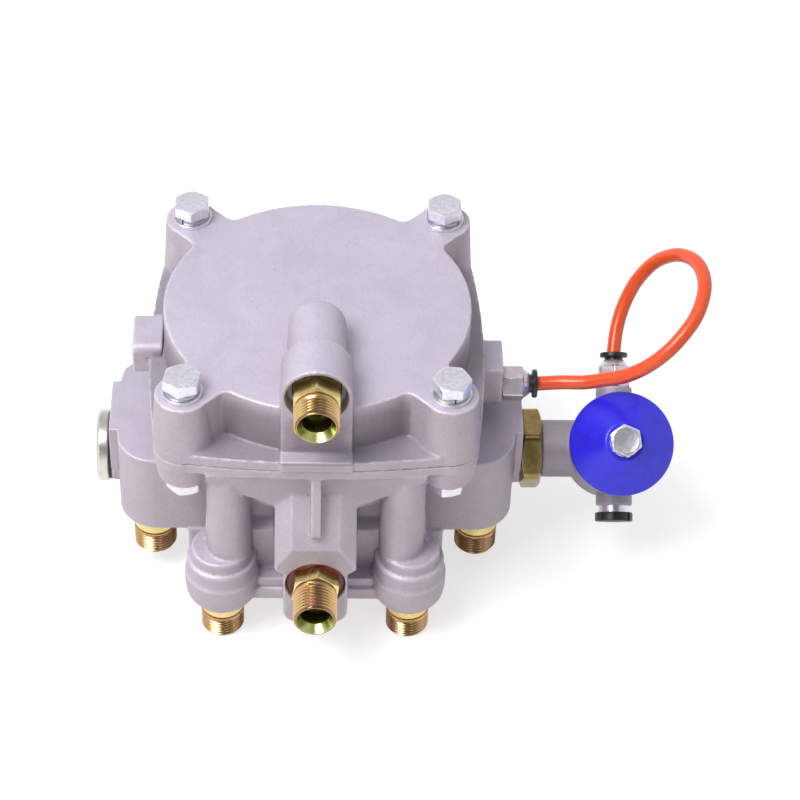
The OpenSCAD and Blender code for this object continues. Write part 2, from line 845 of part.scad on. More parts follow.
module cover_nuts() {
    color(zinc)
        at_bolts()
            difference() {
                rotate([0, 0, -15])
                    hexagon(bolt_hex, nut_z, nut_h);
                translate([0, 0, nut_z - 1])
                    cylinder(r = bolt_r + slide_fit, h = nut_h + 2, $fn = 48);
            }
}

module relay_piston() {
    hub_r = stem_r + 6;
    hub_low = bowl_floor + relay_stroke + 1;
    stop_r = 22;
    color(steel)
        rotate_extrude($fn = 180)
            polygon([
                [0, stem_end], [stem_r, stem_end], [stem_r, hub_low], [hub_r, hub_low + hub_r - stem_r],
                [hub_r, piston_low - 3], [hub_r + 3, piston_low], [piston_rim, piston_low],
                [piston_rim, piston_mid - seal_h / 2], [piston_rim - seal_w, piston_mid - seal_h / 2],
                [piston_rim - seal_w, piston_mid + seal_h / 2], [piston_rim, piston_mid + seal_h / 2],
                [piston_rim, piston_top], [stop_r + 4, piston_top], [stop_r + 2, chamber_side - free_gap],
                [stop_r - 4, chamber_side - free_gap], [stop_r - 6, piston_top + 3], [0, piston_top + 3]
            ]);
}

module relay_piston_seal() {
    color(rubber)
        ring(piston_rim - seal_w, piston_bore_r - slide_fit, piston_mid - seal_h / 2, seal_h);
}

module valve_element() {
    color(steel)
        rotate_extrude()
            polygon([
                [element_bore_r, element_end], [element_r, element_end], [element_r, element_head_z],
                [element_head_r, element_head_z], [element_head_r, element_head_z + 3],
                [element_bore_r, element_head_z + 3]
            ]);
}

module valve_face() {
    color(rubber)
        ring(element_bore_r, element_head_r, element_head_z + 3, seat_z - seat_gap - element_head_z - 3);
}

module valve_spring() {
    color(steel)
        coil_spring(element_r + 4, 1.1, hub_top, element_head_z, 5);
}

module emergency_piston() {
    bore = sleeve_r + slide_fit;
    skirt_z = emergency_low - emergency_stroke;
    color(steel)
        rotate_extrude($fn = 144)
            polygon([
                [bore, skirt_z], [bore + skirt_t, skirt_z], [bore + skirt_t + 1, emergency_low],
                [chamber_rim, emergency_low], [chamber_rim, emergency_mid - seal_h / 2],
                [chamber_rim - seal_w, emergency_mid - seal_h / 2],
                [chamber_rim - seal_w, emergency_mid + seal_h / 2],
                [chamber_rim, emergency_mid + seal_h / 2], [chamber_rim, emergency_top],
                [bore, emergency_top],
                [bore, emergency_mid + seal_h / 2], [bore + inner_seal_w, emergency_mid + seal_h / 2],
                [bore + inner_seal_w, emergency_mid - seal_h / 2], [bore, emergency_mid - seal_h / 2]
            ]);
}

module emergency_piston_seals() {
    bore = sleeve_r + slide_fit;
    color(rubber) {
        ring(chamber_rim - seal_w, chamber_r - slide_fit, emergency_mid - seal_h / 2, seal_h);
        ring(bore, bore + inner_seal_w, emergency_mid - seal_h / 2, seal_h);
    }
}

module emergency_spring() {
    color(steel)
        coil_spring((chamber_r + sleeve_r) / 2 + 2, 1.6, guide_top, emergency_low, 4);
}

module bottom_guide() {
    inner = sleeve_r - 3.5;
    color(cast)
        difference() {
            rotate_extrude($fn = 144)
                polygon([
                    [exhaust_r, 0], [exhaust_r + 6, 0], [exhaust_r + 6, guide_z],
                    [chamber_r - 0.2, guide_z], [chamber_r - 0.2, guide_z + 3],
                    [chamber_r - seal_w, guide_z + 3], [chamber_r - seal_w, guide_z + 3 + seal_h],
                    [chamber_r - 0.2, guide_z + 3 + seal_h], [chamber_r - 0.2, guide_top],
                    [sleeve_r, guide_top], [sleeve_r, sleeve_top], [inner, sleeve_top], [inner, hub_top],
                    [element_r + slide_fit, hub_top], [element_r + slide_fit, guide_top + 3],
                    [exhaust_r + 1.5, guide_top + 3], [exhaust_r + 1.5, mouth_l], [exhaust_r, mouth_l]
                ]);
            for (turn = [0 : 60 : 300])
                rotate([0, 0, turn])
                    facing_right(inner - 1, 0, hub_top + 7)
                        cylinder(r = 3, h = 6, $fn = 32);
        }
    color(cast) {
        for (turn = [0 : 120 : 240])
            rotate([0, 0, turn])
                translate([1.5, -1.5, guide_z + 7])
                    cube([exhaust_r + 1.5, 3, 2]);
        translate([0, 0, guide_z + 4.6])
            cylinder(r = 2, h = 4.4, $fn = 32);
        translate([0, 0, guide_z + 4.2])
            cylinder(r = 3.5, h = 1, $fn = 32);
    }
}

module guide_seal() {
    color(rubber)
        ring(chamber_r - seal_w, chamber_r - slide_fit, guide_z + 3, seal_h);
}

module retaining_ring() {
    color(steel)
        difference() {
            ring(chamber_r - 4, chamber_r + 1.8, guide_z - 1.8, 1.7);
            rotate([0, 0, -90])
                translate([0, -8, 0])
                    cube([chamber_r + 4, 16, guide_z]);
        }
}

module exhaust_flap() {
    color(rubber)
        ring(2 + seat_gap, exhaust_r - 1.2, guide_z + 5.3, 1.6);
}

// The bore of a fitting: narrow behind, wide in front and coned at its mouth
module fitting_bore(stud, end) {
    rotate_extrude()
        polygon([
            [0, -stud - 1], [narrow_bore_r, -stud - 1], [narrow_bore_r, end - narrow_depth],
            [port_bore_r, end - narrow_depth], [port_bore_r, end - cone_depth], [mouth_r, end + eps],
            [0, end + eps]
        ]);
}

// Male port fitting along +Z: stud below zero, hexagon, undercut, thread and coned mouth
module port_fitting(stud, hex_l, thread) {
    end = hex_l + thread;
    color(yellow_zinc)
        difference() {
            union() {
                hexagon(port_hex, 0, hex_l);
                rotate_extrude()
                    polygon([
                        [0, -stud], [port_r - 1, -stud], [port_r - slide_fit, -stud + 1],
                        [port_r - slide_fit, hex_l / 2], [port_r - 1.2, hex_l / 2],
                        [port_r - 1.2, hex_l + 1.4], [port_r, hex_l + 2.2], [port_r, end - thread_lead],
                        [port_r - thread_lead, end], [0, end]
                    ]);
            }
            fitting_bore(stud, end);
        }
}

// Plain outlet fitting along +Z: stud, round shoulder, undercut and thread
module outlet_fitting(shoulder, thread) {
    end = shoulder + thread;
    color(yellow_zinc)
        difference() {
            rotate_extrude()
                polygon([
                    [0, -outlet_stud], [port_r - 1, -outlet_stud], [port_r - slide_fit, -outlet_stud + 1],
                    [port_r - slide_fit, 0], [port_r, 0], [port_r, shoulder - 1.2],
                    [port_r - 0.8, shoulder - 0.8],
                    [port_r - 0.8, shoulder + 0.4], [port_r, shoulder + 1.2],
                    [port_r, end - thread_lead], [port_r - thread_lead, end], [0, end]
                ]);
            fitting_bore(outlet_stud, end);
        }
}

module control_fitting() {
    facing_front(control_face - control_recess + port_seal_t, control_z)
        port_fitting(port_seal_t + stud_l, control_hex_l, control_thread);
}

module control_seal() {
    color(rubber)
        facing_front(control_face - control_recess, control_z)
            ring(port_r, port_hex / 2 + 0.8, 0, port_seal_t);
}

module supply_fitting() {
    facing_front(supply_face - supply_recess + supply_seal_t, supply_z)
        rotate([0, 0, -8])
            port_fitting(supply_seal_t + stud_l, supply_hex_l, supply_thread);
}

module supply_seal() {
    color("#7a2a22")
        facing_front(supply_face - supply_recess, supply_z)
            ring(port_r, port_seal_r, 0, supply_seal_t);
}

module front_outlet(side) {
    translate([side * front_port_x, -front_port_y, -ring_drop])
        rotate([180, 0, 0])
            outlet_fitting(outlet_shoulder, outlet_thread);
}

module side_outlet(side) {
    translate([side * side_port_x, -side_port_y, side_z])
        rotate([180, 0, 0])
            outlet_fitting(side_outlet_shoulder, side_outlet_thread);
}

module front_left_fitting() {
    front_outlet(-1);
}

module front_right_fitting() {
    front_outlet(1);
}

module side_left_fitting() {
    side_outlet(-1);
}

module side_right_fitting() {
    side_outlet(1);
}

module side_plug() {
    color(steel)
        mirror([1, 0, 0])
            facing_right(side_face, 0, side_axis_z)
                rotate_extrude()
                    polygon([
                        [0, -plug_thread_l], [plug_thread_r - 1, -plug_thread_l],
                        [plug_thread_r - slide_fit, -plug_thread_l + 1],
                        [plug_thread_r - slide_fit, plug_seal_t],
                        [plug_r - 0.6, plug_seal_t], [plug_r, plug_seal_t + 0.6], [plug_r, plug_end - 1.4],
                        [plug_r - 1.4, plug_end], [plug_r - 3, plug_end], [plug_r - 4.5, plug_end - 1.2],
                        [0, plug_end - 1.2]
                    ]);
}

module side_plug_seal() {
    color(rubber)
        mirror([1, 0, 0])
            facing_right(side_face, 0, side_axis_z)
                ring(plug_thread_r, plug_r - 1, 0, plug_seal_t);
}

// Places a child in the release valve's own frame: +Z is the knob's axis, +Y the cross axis
module at_release() {
    translate([release_x, 0, side_axis_z])
        rotate([90 - release_tilt, 0, 0])
            children();
}

module cross_axis(d) {
    translate([0, d, 0])
        rotate([-90, 0, 0])
            children();
}

module release_body() {
    neck_start = release_x - side_face - lock_nut_t - free_gap;
    boss_r = 9.5;
    color("#a9a6ad")
        difference() {
            union() {
                at_release() {
                    translate([0, 0, -release_half])
                        cylinder(r = release_r, h = 2 * release_half);
                    cross_axis(-low_boss_l)
                        cylinder(r = boss_r, h = low_boss_l + top_boss_l);
                }
                facing_right(side_face + lock_nut_t + free_gap, 0, side_axis_z)
                    cylinder(r = neck_r, h = neck_start);
                facing_right(side_face - 18, 0, side_axis_z)
                    cylinder(r = neck_thread_r - slide_fit, h = 40);
            }
            at_release() {
                translate([0, 0, -release_half + spool_floor])
                    cylinder(r = spool_r, h = 2 * release_half);
                translate([0, 0, release_half - 3])
                    cylinder(r = spool_r + 1.5, h = 1.5);
                cross_axis(top_boss_l - 10)
                    cylinder(r = push_thread_r + slide_fit, h = 11);
                cross_axis(-low_boss_l - 1)
                    cylinder(r = 6, h = 12);
                cross_axis(-low_boss_l)
                    cylinder(r = 2.5, h = low_boss_l + top_boss_l, $fn = 32);
            }
            facing_right(side_face - 19, 0, side_axis_z)
                cylinder(r = 5, h = release_x - side_face + 12, $fn = 48);
        }
}

module release_lock_nut() {
    color(yellow_zinc)
        facing_right(side_face, 0, side_axis_z)
            difference() {
                hexagon(lock_nut_hex, 0, lock_nut_t);
                translate([0, 0, -1])
                    cylinder(r = neck_thread_r, h = lock_nut_t + 2);
            }
}

module release_bush() {
    color(steel)
        at_release()
            ring(rod_r + slide_fit, spool_r - slide_fit, release_half - 11, 8);
}

module release_ring() {
    color(steel)
        at_release()
            difference() {
                ring(spool_r - 2, spool_r + 1.3, release_half - 2.9, 1.3);
                translate([-2, 0, release_half - 4])
                    cube([4, spool_r + 3, 4]);
            }
}

module release_spool() {
    groove_r = spool_land - spool_groove;
    waist_r = spool_land - 3.5;
    color(steel)
        at_release()
            rotate_extrude()
                polygon([
                    [0, spool_low], [spool_land, spool_low], [spool_land, low_seal],
                    [groove_r, low_seal], [groove_r, low_seal + seal_h], [spool_land, low_seal + seal_h],
                    [spool_land, spool_low + land_l], [waist_r, spool_low + land_l],
                    [waist_r, spool_top - land_l], [spool_land, spool_top - land_l], [spool_land, top_seal],
                    [groove_r, top_seal], [groove_r, top_seal + seal_h], [spool_land, top_seal + seal_h],
                    [spool_land, spool_top],
                    [rod_r, spool_top], [rod_r, stem_top], [0, stem_top]
                ]);
}

module spool_seals() {
    color(rubber)
        at_release() {
            ring(spool_land - spool_groove, spool_land, low_seal, seal_h);
            ring(spool_land - spool_groove, spool_land, top_seal, seal_h);
        }
}

// A turned cone with a rolled rim, hollow behind, on a hub that takes the stem
module release_knob() {
    color("#3c33e6")
        at_release()
            difference() {
                rotate_extrude($fn = 128)
                    polygon([
                        [0, knob_z - 4.6], [8, knob_z - 4.6], [8.6, knob_z - 4], [9.4, knob_z + knob_h - 8],
                        [knob_r - 4, knob_z + 0.2], [knob_r - 3.4, knob_z - 2], [knob_r - 1, knob_z - 2],
                        [knob_r - 0.3, knob_z - 1.4], [knob_r, knob_z - 0.4], [knob_r - 0.4, knob_z + 0.6],
                        [10.5, knob_z + knob_h - 0.6], [9.6, knob_z + knob_h], [0, knob_z + knob_h]
                    ]);
                translate([0, 0, knob_z - 6])
                    cylinder(r = rod_r + slide_fit, h = stem_top - knob_z + 6 + slide_fit);
                translate([0, 0, knob_z])
                    cylinder(r = knob_bolt_r + slide_fit, h = knob_h + 1, $fn = 48);
            }
}

module knob_washer() {
    color(zinc)
        at_release()
            ring(knob_bolt_r + slide_fit, knob_washer_r, knob_z + knob_h, knob_washer_t);
}

module knob_bolt() {
    base = knob_z + knob_h + knob_washer_t;
    color(zinc)
        at_release() {
            rotate([0, 0, 8])
                hexagon(knob_hex, base, knob_head_h, false, true);
            translate([0, 0, stem_top])
                cylinder(r = knob_bolt_r, h = base - stem_top + 1, $fn = 48);
        }
}

module release_exhaust_ring() {
    color(zinc)
        at_release()
            cross_axis(-33.5)
                ring(4, 8, 0, 3.5);
}

module release_exhaust_cap() {
    color(rubber)
        at_release()
            cross_axis(-38.3) {
                cylinder(r = 9.85, h = 4.8);
                cylinder(r = 4 - slide_fit, h = 12, $fn = 48);
            }
}

// Push-in tube fitting along +Z from its seat: thread below zero, hexagon, cone and nose
module push_fitting() {
    color(zinc)
        difference() {
            union() {
                hexagon(push_hex, 0, 11, true, false);
                rotate_extrude()
                    polygon([
                        [0, -9], [push_thread_r - 1, -9], [push_thread_r, -8], [push_thread_r, 1], [0, 1]
                    ]);
                rotate_extrude()
                    polygon([
                        [0, 9], [push_hex / 2 - 1, 9], [push_hex / 2, 11],
                        [push_hex / 2 - 2.4, push_body_l], [0, push_body_l]
                    ]);
            }
            translate([0, 0, push_body_l - push_socket_l])
                cylinder(r = tube_r + collet_wall + slide_fit, h = push_socket_l + 1);
            translate([0, 0, -10])
                cylinder(r = tube_r - 0.8, h = 20, $fn = 48);
        }
}

module collet() {
    flange_z = push_body_l + collet_stroke + free_gap;
    color(rubber)
        rotate_extrude()
            polygon([
                [tube_r + 0.1, push_body_l - 6.5], [tube_r + collet_wall, push_body_l - 6.5],
                [tube_r + collet_wall, flange_z],
                [collet_r - 0.4, flange_z], [collet_r, flange_z + 0.4], [collet_r, push_total_l - 0.4],
                [collet_r - 0.4, push_total_l], [tube_r + 0.1, push_total_l]
            ]);
}

module at_side_fitting() {
    facing_right(right_block_x, 0, block_z)
        children();
}

module at_top_fitting() {
    at_release()
        cross_axis(top_boss_l)
            children();
}

module side_tube_fitting() {
    at_side_fitting()
        push_fitting();
}

module side_collet() {
    at_side_fitting()
        collet();
}

module top_tube_fitting() {
    at_top_fitting()
        push_fitting();
}

module top_collet() {
    at_top_fitting()
        collet();
}

module pilot_tube() {
    color("#ff5f2d")
        swept_tube(tube_points, tube_r, 12, tube_up);
}

main_body();
top_cover();
cover_seal();
cover_bolts();
spring_washers();
flat_washers();
cover_nuts();
relay_piston();
relay_piston_seal();
valve_element();
valve_face();
valve_spring();
emergency_piston();
emergency_piston_seals();
emergency_spring();
bottom_guide();
guide_seal();
retaining_ring();
exhaust_flap();
control_fitting();
control_seal();
supply_fitting();
supply_seal();
front_left_fitting();
front_right_fitting();
side_left_fitting();
side_right_fitting();
side_plug();
side_plug_seal();
release_body();
release_lock_nut();
release_bush();
release_ring();
release_spool();
spool_seals();
release_knob();
knob_bolt();
knob_washer();
release_exhaust_ring();
release_exhaust_cap();
top_tube_fitting();
top_collet();
side_tube_fitting();
side_collet();
pilot_tube();
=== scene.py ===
# %% [markdown]
# Trailer brake valve: a die-cast relay-emergency valve with a hand release valve on its right.
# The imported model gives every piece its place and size, so this lesson only dresses it. Rough castings are
# rounded as a mould rounds them, turned and threaded pieces are worked out as grids of points, and each
# metal, rubber and plastic gets a finish that is made of shader maths. The scene is in metres with +Z up, and
# the sizes below are written in millimetres.

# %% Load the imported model
import json

import bmesh
import bpy
import numpy as np
from mathutils import Matrix, Vector


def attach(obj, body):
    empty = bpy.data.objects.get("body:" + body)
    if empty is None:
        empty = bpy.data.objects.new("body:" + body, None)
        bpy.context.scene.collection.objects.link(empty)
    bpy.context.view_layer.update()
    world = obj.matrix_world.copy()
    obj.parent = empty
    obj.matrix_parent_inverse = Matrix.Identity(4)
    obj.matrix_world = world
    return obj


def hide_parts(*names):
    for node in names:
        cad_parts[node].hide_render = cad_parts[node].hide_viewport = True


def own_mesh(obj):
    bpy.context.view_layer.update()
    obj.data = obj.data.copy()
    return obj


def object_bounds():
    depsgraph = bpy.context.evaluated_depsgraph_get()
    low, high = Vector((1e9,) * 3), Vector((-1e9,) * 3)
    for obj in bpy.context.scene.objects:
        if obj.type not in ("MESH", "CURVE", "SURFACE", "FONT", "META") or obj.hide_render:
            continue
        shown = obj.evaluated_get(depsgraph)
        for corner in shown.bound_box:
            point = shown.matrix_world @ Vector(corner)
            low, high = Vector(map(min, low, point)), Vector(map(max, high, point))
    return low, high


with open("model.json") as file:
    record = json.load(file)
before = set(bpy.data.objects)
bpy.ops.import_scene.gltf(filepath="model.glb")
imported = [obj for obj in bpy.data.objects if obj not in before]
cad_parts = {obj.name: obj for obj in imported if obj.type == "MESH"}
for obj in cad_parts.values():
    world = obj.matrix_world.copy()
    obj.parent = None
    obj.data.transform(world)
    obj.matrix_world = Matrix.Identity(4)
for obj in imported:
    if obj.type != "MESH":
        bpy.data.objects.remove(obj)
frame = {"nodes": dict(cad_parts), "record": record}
cad_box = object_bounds()
nodes = frame["nodes"]
MM, MM_PER_M = 0.001, 1000.0

# %% [markdown]
# The camera stands in front of the valve and looks down on it at 44 degrees, from about one and a half
# metres. Its three axes are worked out one by one: first level with the valve, then turned a little to the
# right so that the picture has room for the tube's loop, then rolled by half a degree as the real camera was.

# %% Camera
CAMERA_AT = np.array([0.0, -1022.4, 1055.7]) * MM
LOOK_DOWN, LOOK_RIGHT, ROLL = np.radians([44.0, 1.73, 0.49])
LENS_PX, PICTURE_PX, SENSOR_MM = 2751.0, 800.0, 36.0


def turned_pair(a, b, angle):
    """Two square directions turned in their plane: a moves towards b, and b moves away from a."""
    return np.cos(angle) * a + np.sin(angle) * b, np.cos(angle) * b - np.sin(angle) * a


def camera_axes(down, turn, roll):
    """Right, up and forward of a camera that looks along +Y, tipped down, turned to the right, then rolled."""
    ahead = np.array([0.0, np.cos(down), -np.sin(down)])
    up = np.array([0.0, np.sin(down), np.cos(down)])
    right = np.array([1.0, 0.0, 0.0])
    ahead, right = turned_pair(ahead, right, turn)
    right, up = turned_pair(right, up, roll)
    return right, up, ahead


right, up, ahead = camera_axes(LOOK_DOWN, LOOK_RIGHT, ROLL)
lens = bpy.data.cameras.new("camera")
lens.sensor_width = SENSOR_MM
lens.lens = LENS_PX / PICTURE_PX * SENSOR_MM
lens.clip_start, lens.clip_end = 0.01, 50.0
camera = bpy.data.objects.new("camera", lens)
bpy.context.scene.collection.objects.link(camera)
turned_to = Matrix(np.column_stack([right, up, -ahead]).tolist()).to_4x4()
camera.matrix_world = Matrix.Translation(CAMERA_AT.tolist()) @ turned_to
bpy.context.scene.camera = camera
print("camera lens", round(lens.lens, 1), "mm, looks", ahead.round(3))

# %% [markdown]
# Every new surface here is a grid of points, rows by columns. One helper turns such a grid into a mesh: it
# joins the last column to the first, because every shape here goes round, merges points that fall together at
# a pole, and turns all faces outwards. A second helper carries a shape from its own upright frame to its place
# on the valve.


# %% Grids of points become meshes
POLE_GAP = 2e-6


def new_piece(name, mesh):
    """An object at the origin that holds a mesh whose points are already in place."""
    piece = bpy.data.objects.new(name, mesh)
    bpy.context.scene.collection.objects.link(piece)
    return piece


def grid_faces(rows, cols):
    """Corner numbers of the quads of a grid whose last column joins its first."""
    i, j = (index.ravel() for index in np.meshgrid(np.arange(rows - 1), np.arange(cols), indexing="ij"))
    k = (j + 1) % cols
    return np.stack([i * cols + j, i * cols + k, (i + 1) * cols + k, (i + 1) * cols + j], 1)


def surface(name, grids, smooth=40.0):
    """One mesh from a list of grids (rows, columns, 3), with its poles merged and its faces turned outwards.

    An edge between two faces stays sharp where they meet at more than smooth degrees.
    """
    points, faces, start = [], [], 0
    for grid in grids:
        rows, cols = grid.shape[:2]
        points.append(grid.reshape(-1, 3))
        faces.append(grid_faces(rows, cols) + start)
        start += rows * cols
    mesh = bpy.data.meshes.new(name)
    mesh.from_pydata(np.concatenate(points), [], np.concatenate(faces))
    work = bmesh.new()
    work.from_mesh(mesh)
    bmesh.ops.remove_doubles(work, verts=work.verts, dist=POLE_GAP)
    bmesh.ops.recalc_face_normals(work, faces=work.faces)
    work.to_mesh(mesh)
    work.free()
    mesh.shade_smooth()
    mesh.set_sharp_from_angle(angle=np.radians(smooth))
    return new_piece(name, mesh)


def unit(v):
    """A vector or an array of vectors at length one."""
    v = np.asarray(v, float)
    return v / np.linalg.norm(v, axis=-1, keepdims=True)


def placed(grid, at, z_axis, x_axis):
    """A grid in its own upright frame, in millimetres, carried to at with its Z and X along the given axes."""
    z = unit(z_axis)
    x = unit(np.asarray(x_axis, float) - np.dot(x_axis, z) * z)
    return (np.asarray(at) + grid @ np.stack([x, np.cross(z, x), z])) * MM


print("helpers for grids are ready")

# %% [markdown]
# The plug, the knob and the collets are round. A screw modifier could spin them, but here each is one profile
# of radius and height that cosine and sine carry round an axis, which keeps its columns even. Corners are
# rounded by short curves, because a lathe tool or a mould never leaves a perfectly sharp edge, and long
# stretches get points in between, so that shading runs evenly over them.


# %% Turned pieces
def fine_profile(corners, step=1.0):
    """Corner points (radius, height) joined by evenly spaced points that lie at most step apart."""
    corners = np.asarray(corners, float)
    out = [corners[:1]]
    for a, b in zip(corners[:-1], corners[1:]):
        count = max(int(np.ceil(np.linalg.norm(b - a) / step)), 1)
        share = np.linspace(0, 1, count + 1)[1:, None]
        out.append(a + share * (b - a))
    return np.concatenate(out)


SIDE_SHARE = 0.45


def round_corners(corners, radius, count=4):
    """A profile whose corners are cut by quadratic curves, which take up to the radius off each side."""
    corners = np.asarray(corners, float)
    out = [corners[0]]
    for a, b, c in zip(corners[:-2], corners[1:-1], corners[2:]):
        into, away = a - b, c - b
        reach = min(radius, SIDE_SHARE * np.linalg.norm(into), SIDE_SHARE * np.linalg.norm(away))
        start, end = b + unit(into) * reach, b + unit(away) * reach
        t = np.linspace(0, 1, count + 1)[:, None]
        out.extend((1 - t) ** 2 * start + 2 * t * (1 - t) * b + t**2 * end)
    out.append(corners[-1])
    return np.asarray(out)


def turned(profile, cols):
    """A profile of (radius, height) carried once round the Z axis: x is r cos a, y is r sin a."""
    angle = np.linspace(0, 2 * np.pi, cols, endpoint=False)
    r, z = np.asarray(profile).T
    return np.stack([r[:, None] * np.cos(angle), r[:, None] * np.sin(angle), z[:, None] + 0 * angle], -1)


print("helpers for turned pieces are ready")

# %% [markdown]
# Finishes are written as sums. A Wire is one value on its way through a material, and adding to it or
# multiplying it adds the Math node that does so. A Finish holds one material with its Principled shader, and
# its node method makes any other node: the type, the settings, then the values or wires of its sockets. Nodes
# could be placed by hand in the shader editor instead, but a sum is shorter and shows at a glance what
# depends on what.


# %% Shader maths in plain expressions
class Wire:
    """One output socket. Arithmetic on it adds Math nodes to the finish that it belongs to."""

    def __init__(self, finish, socket):
        self.finish, self.socket = finish, socket

    def math(self, operation, *values, clamp=False):
        """A Math node whose first input is this wire."""
        settings = {"operation": operation, "use_clamp": clamp}
        return self.finish.node("ShaderNodeMath", settings, [self, *values])

    def __add__(self, other):
        return self.math("ADD", other)

    def __sub__(self, other):
        return self.math("SUBTRACT", other)

    def __rsub__(self, other):
        return self.math("MULTIPLY", -1.0) + other

    def __mul__(self, other):
        return self.math("MULTIPLY", other)

    __radd__, __rmul__ = __add__, __mul__

    def clip(self):
        """Cut to the range from 0 to 1."""
        return self.math("ADD", 0.0, clamp=True)

    def step(self, low, high):
        """0 below low, 1 above high, and an even ramp between them."""
        return ((self - low) * (1.0 / (high - low))).clip()


class Finish:
    """A material with a Principled shader. Places are Object coordinates in metres."""

    def __init__(self, name, **constants):
        self.material = bpy.data.materials.new(name)
        self.material.use_nodes = True
        self.tree = self.material.node_tree
        self.shader = self.tree.nodes["Principled BSDF"]
        self.place = self.node("ShaderNodeTexCoord", {}, [], "Object")
        self.set(**constants)

    def node(self, kind, settings, values, output=0):
        """A node of a kind with its settings, its sockets fed in order or by name, and one output as a Wire.

        The stops of a ramp are pairs of place and colour, one for each of its two ends.
        """
        made = self.tree.nodes.new(kind)
        for key, value in settings.items():
            if key == "stops":
                for stop, (at, tint) in zip(made.color_ramp.elements, value):
                    stop.position, stop.color = at, (*tint, 1.0)
            else:
                setattr(made, key, value)
        pairs = values.items() if isinstance(values, dict) else enumerate(values)
        for key, value in pairs:
            self.feed(made.inputs[key], value)
        return None if output is None else Wire(self, made.outputs[output])

    def feed(self, socket, value):
        """A wire is linked, and a number or colour is set on the socket itself."""
        if isinstance(value, Wire):
            self.tree.links.new(value.socket, socket)
        elif np.ndim(value) and len(socket.default_value) == 4:
            socket.default_value = (*value, 1.0)
        else:
            socket.default_value = value

    def set(self, **values):
        """Feeds the Principled shader's sockets, named with underscores for spaces."""
        for key, value in values.items():
            self.feed(self.shader.inputs[key.replace("_", " ")], value)

    def place_in(self, size_mm):
        """The place counted in steps of size_mm."""
        return self.node("ShaderNodeVectorMath", {"operation": "SCALE"},
                         {"Vector": self.place, "Scale": MM_PER_M / size_mm})

    def noise(self, size_mm, detail=3.0, roughness=0.5, distortion=0.0):
        """Smooth random values about 0.5, whose blobs are about size_mm across."""
        return self.node("ShaderNodeTexNoise", {},
                         {"Vector": self.place_in(size_mm), "Scale": 1.0, "Detail": detail,
                          "Roughness": roughness, "Distortion": distortion})

    def pits(self, size_mm):
        """Distance to the nearest of scattered points that lie about size_mm apart."""
        fed = {"Vector": self.place_in(size_mm), "Scale": 1.0}
        return self.node("ShaderNodeTexVoronoi", {}, fed, "Distance")

    def carried(self, name):
        """A number that the piece itself carries at each of its points."""
        return self.node("ShaderNodeAttribute", {"attribute_name": name}, [], "Fac")

    def blend(self, share, low, high):
        """A colour that goes from low to high as share goes from 0 to 1."""
        return self.node("ShaderNodeMix", {"data_type": "RGBA"}, {0: share, 6: low, 7: high}, 2)

    def bump(self, height, depth_mm, under=None):
        """A Bump node that lifts the surface by height times depth_mm, over another bump if one is given."""
        values = {"Height": height, "Distance": depth_mm * MM, "Strength": 1.0}
        if under is not None:
            values["Normal"] = under
        return self.node("ShaderNodeBump", {}, values)


def colour(r, g, b):
    """A display colour from 0 to 255 as the linear numbers that a socket takes."""
    c = np.array([r, g, b]) / 255.0
    return tuple(np.where(c <= 0.04045, c / 12.92, ((c + 0.055) / 1.055) ** 2.4).tolist())


finishes = {}
print("shader maths is ready")

# %% [markdown]
# Die-cast aluminium comes out of its mould with a fine satin skin. It is neither a mirror nor a paint, so the
# finish is part metal and fairly rough. The colour follows how far the surface looks up, as painted light from
# above: flat tops are painted lighter and cooler than walls. Grain of two sizes gives the skin, large soft
# clouds vary its tone, and small dark pits are scattered over it. Each casting also carries two numbers, which
# the castings' step works out: on edges the skin is rubbed bright, which also paints a highlight there, and in
# creases and deep hollows shade is painted in.


# %% Cast aluminium
def cast_finish(name, top, wall, worn_and_highlight, dark_grain_and_shade):
    """A satin cast skin with painted light: top colour where it looks up and wall elsewhere, worn edges that
    also get a painted highlight, and painted shade in creases and hollows.
    """
    f = Finish(name, Metallic=0.35, IOR=1.6)
    clouds = f.noise(22.0, 4.0, 0.6, distortion=0.6)
    grain = f.noise(0.7, 4.0, 0.65)
    lumps = f.noise(3.2, 3.0, 0.55)
    specks = f.pits(3.4).step(0.07, 0.13)
    lit_from_above = f.node("ShaderNodeSeparateXYZ", {}, [f.node("ShaderNodeTexCoord", {}, [], "Normal")], 2)
    wear, deep = f.carried("wear"), f.carried("deep")
    edge = (wear.step(0.5, 1.0) * f.noise(5.0, 3.0, 0.7).step(0.3, 0.6)).clip()
    crease_shade = 1.0 - wear.step(0.0, 0.5)
    # Painted light from above: faces that look up take the lighter, cooler top colour, walls the darker one.
    base = f.blend(lit_from_above.step(0.3, 0.9), wall, top)
    sand = (1.0 - grain.step(0.25, 0.6)) * 0.55 + (1.0 - clouds.step(0.3, 0.7)) * 0.25
    base = f.blend((sand * 0.5).clip(), base, dark_grain_and_shade)
    # Painted shade in deep hollows and on the cover's shaded wall and flange, and the seam's dark film, all go
    # towards the dark tone.
    base = f.blend(deep.step(0.1, 0.9) * 0.6, base, dark_grain_and_shade)
    # Painted shade: creases, where rounding pulled points outwards, go towards the dark tone.
    base = f.blend(crease_shade.step(0.2, 0.8) * 0.7, base, dark_grain_and_shade)
    # Edges are worn bright, and that brightness also paints a highlight on them.
    base = f.blend(edge * 0.8, base, worn_and_highlight)
    base = f.blend((1.0 - specks) * f.noise(9.0).step(0.55, 0.62) * 0.55, base, dark_grain_and_shade)
    skin = f.bump(lumps, 0.18, f.bump(grain, 0.13))
    f.set(Base_Color=base, Roughness=0.50 + grain * 0.12 - edge * 0.12 - clouds * 0.06, Normal=skin)
    finishes[name] = f.material


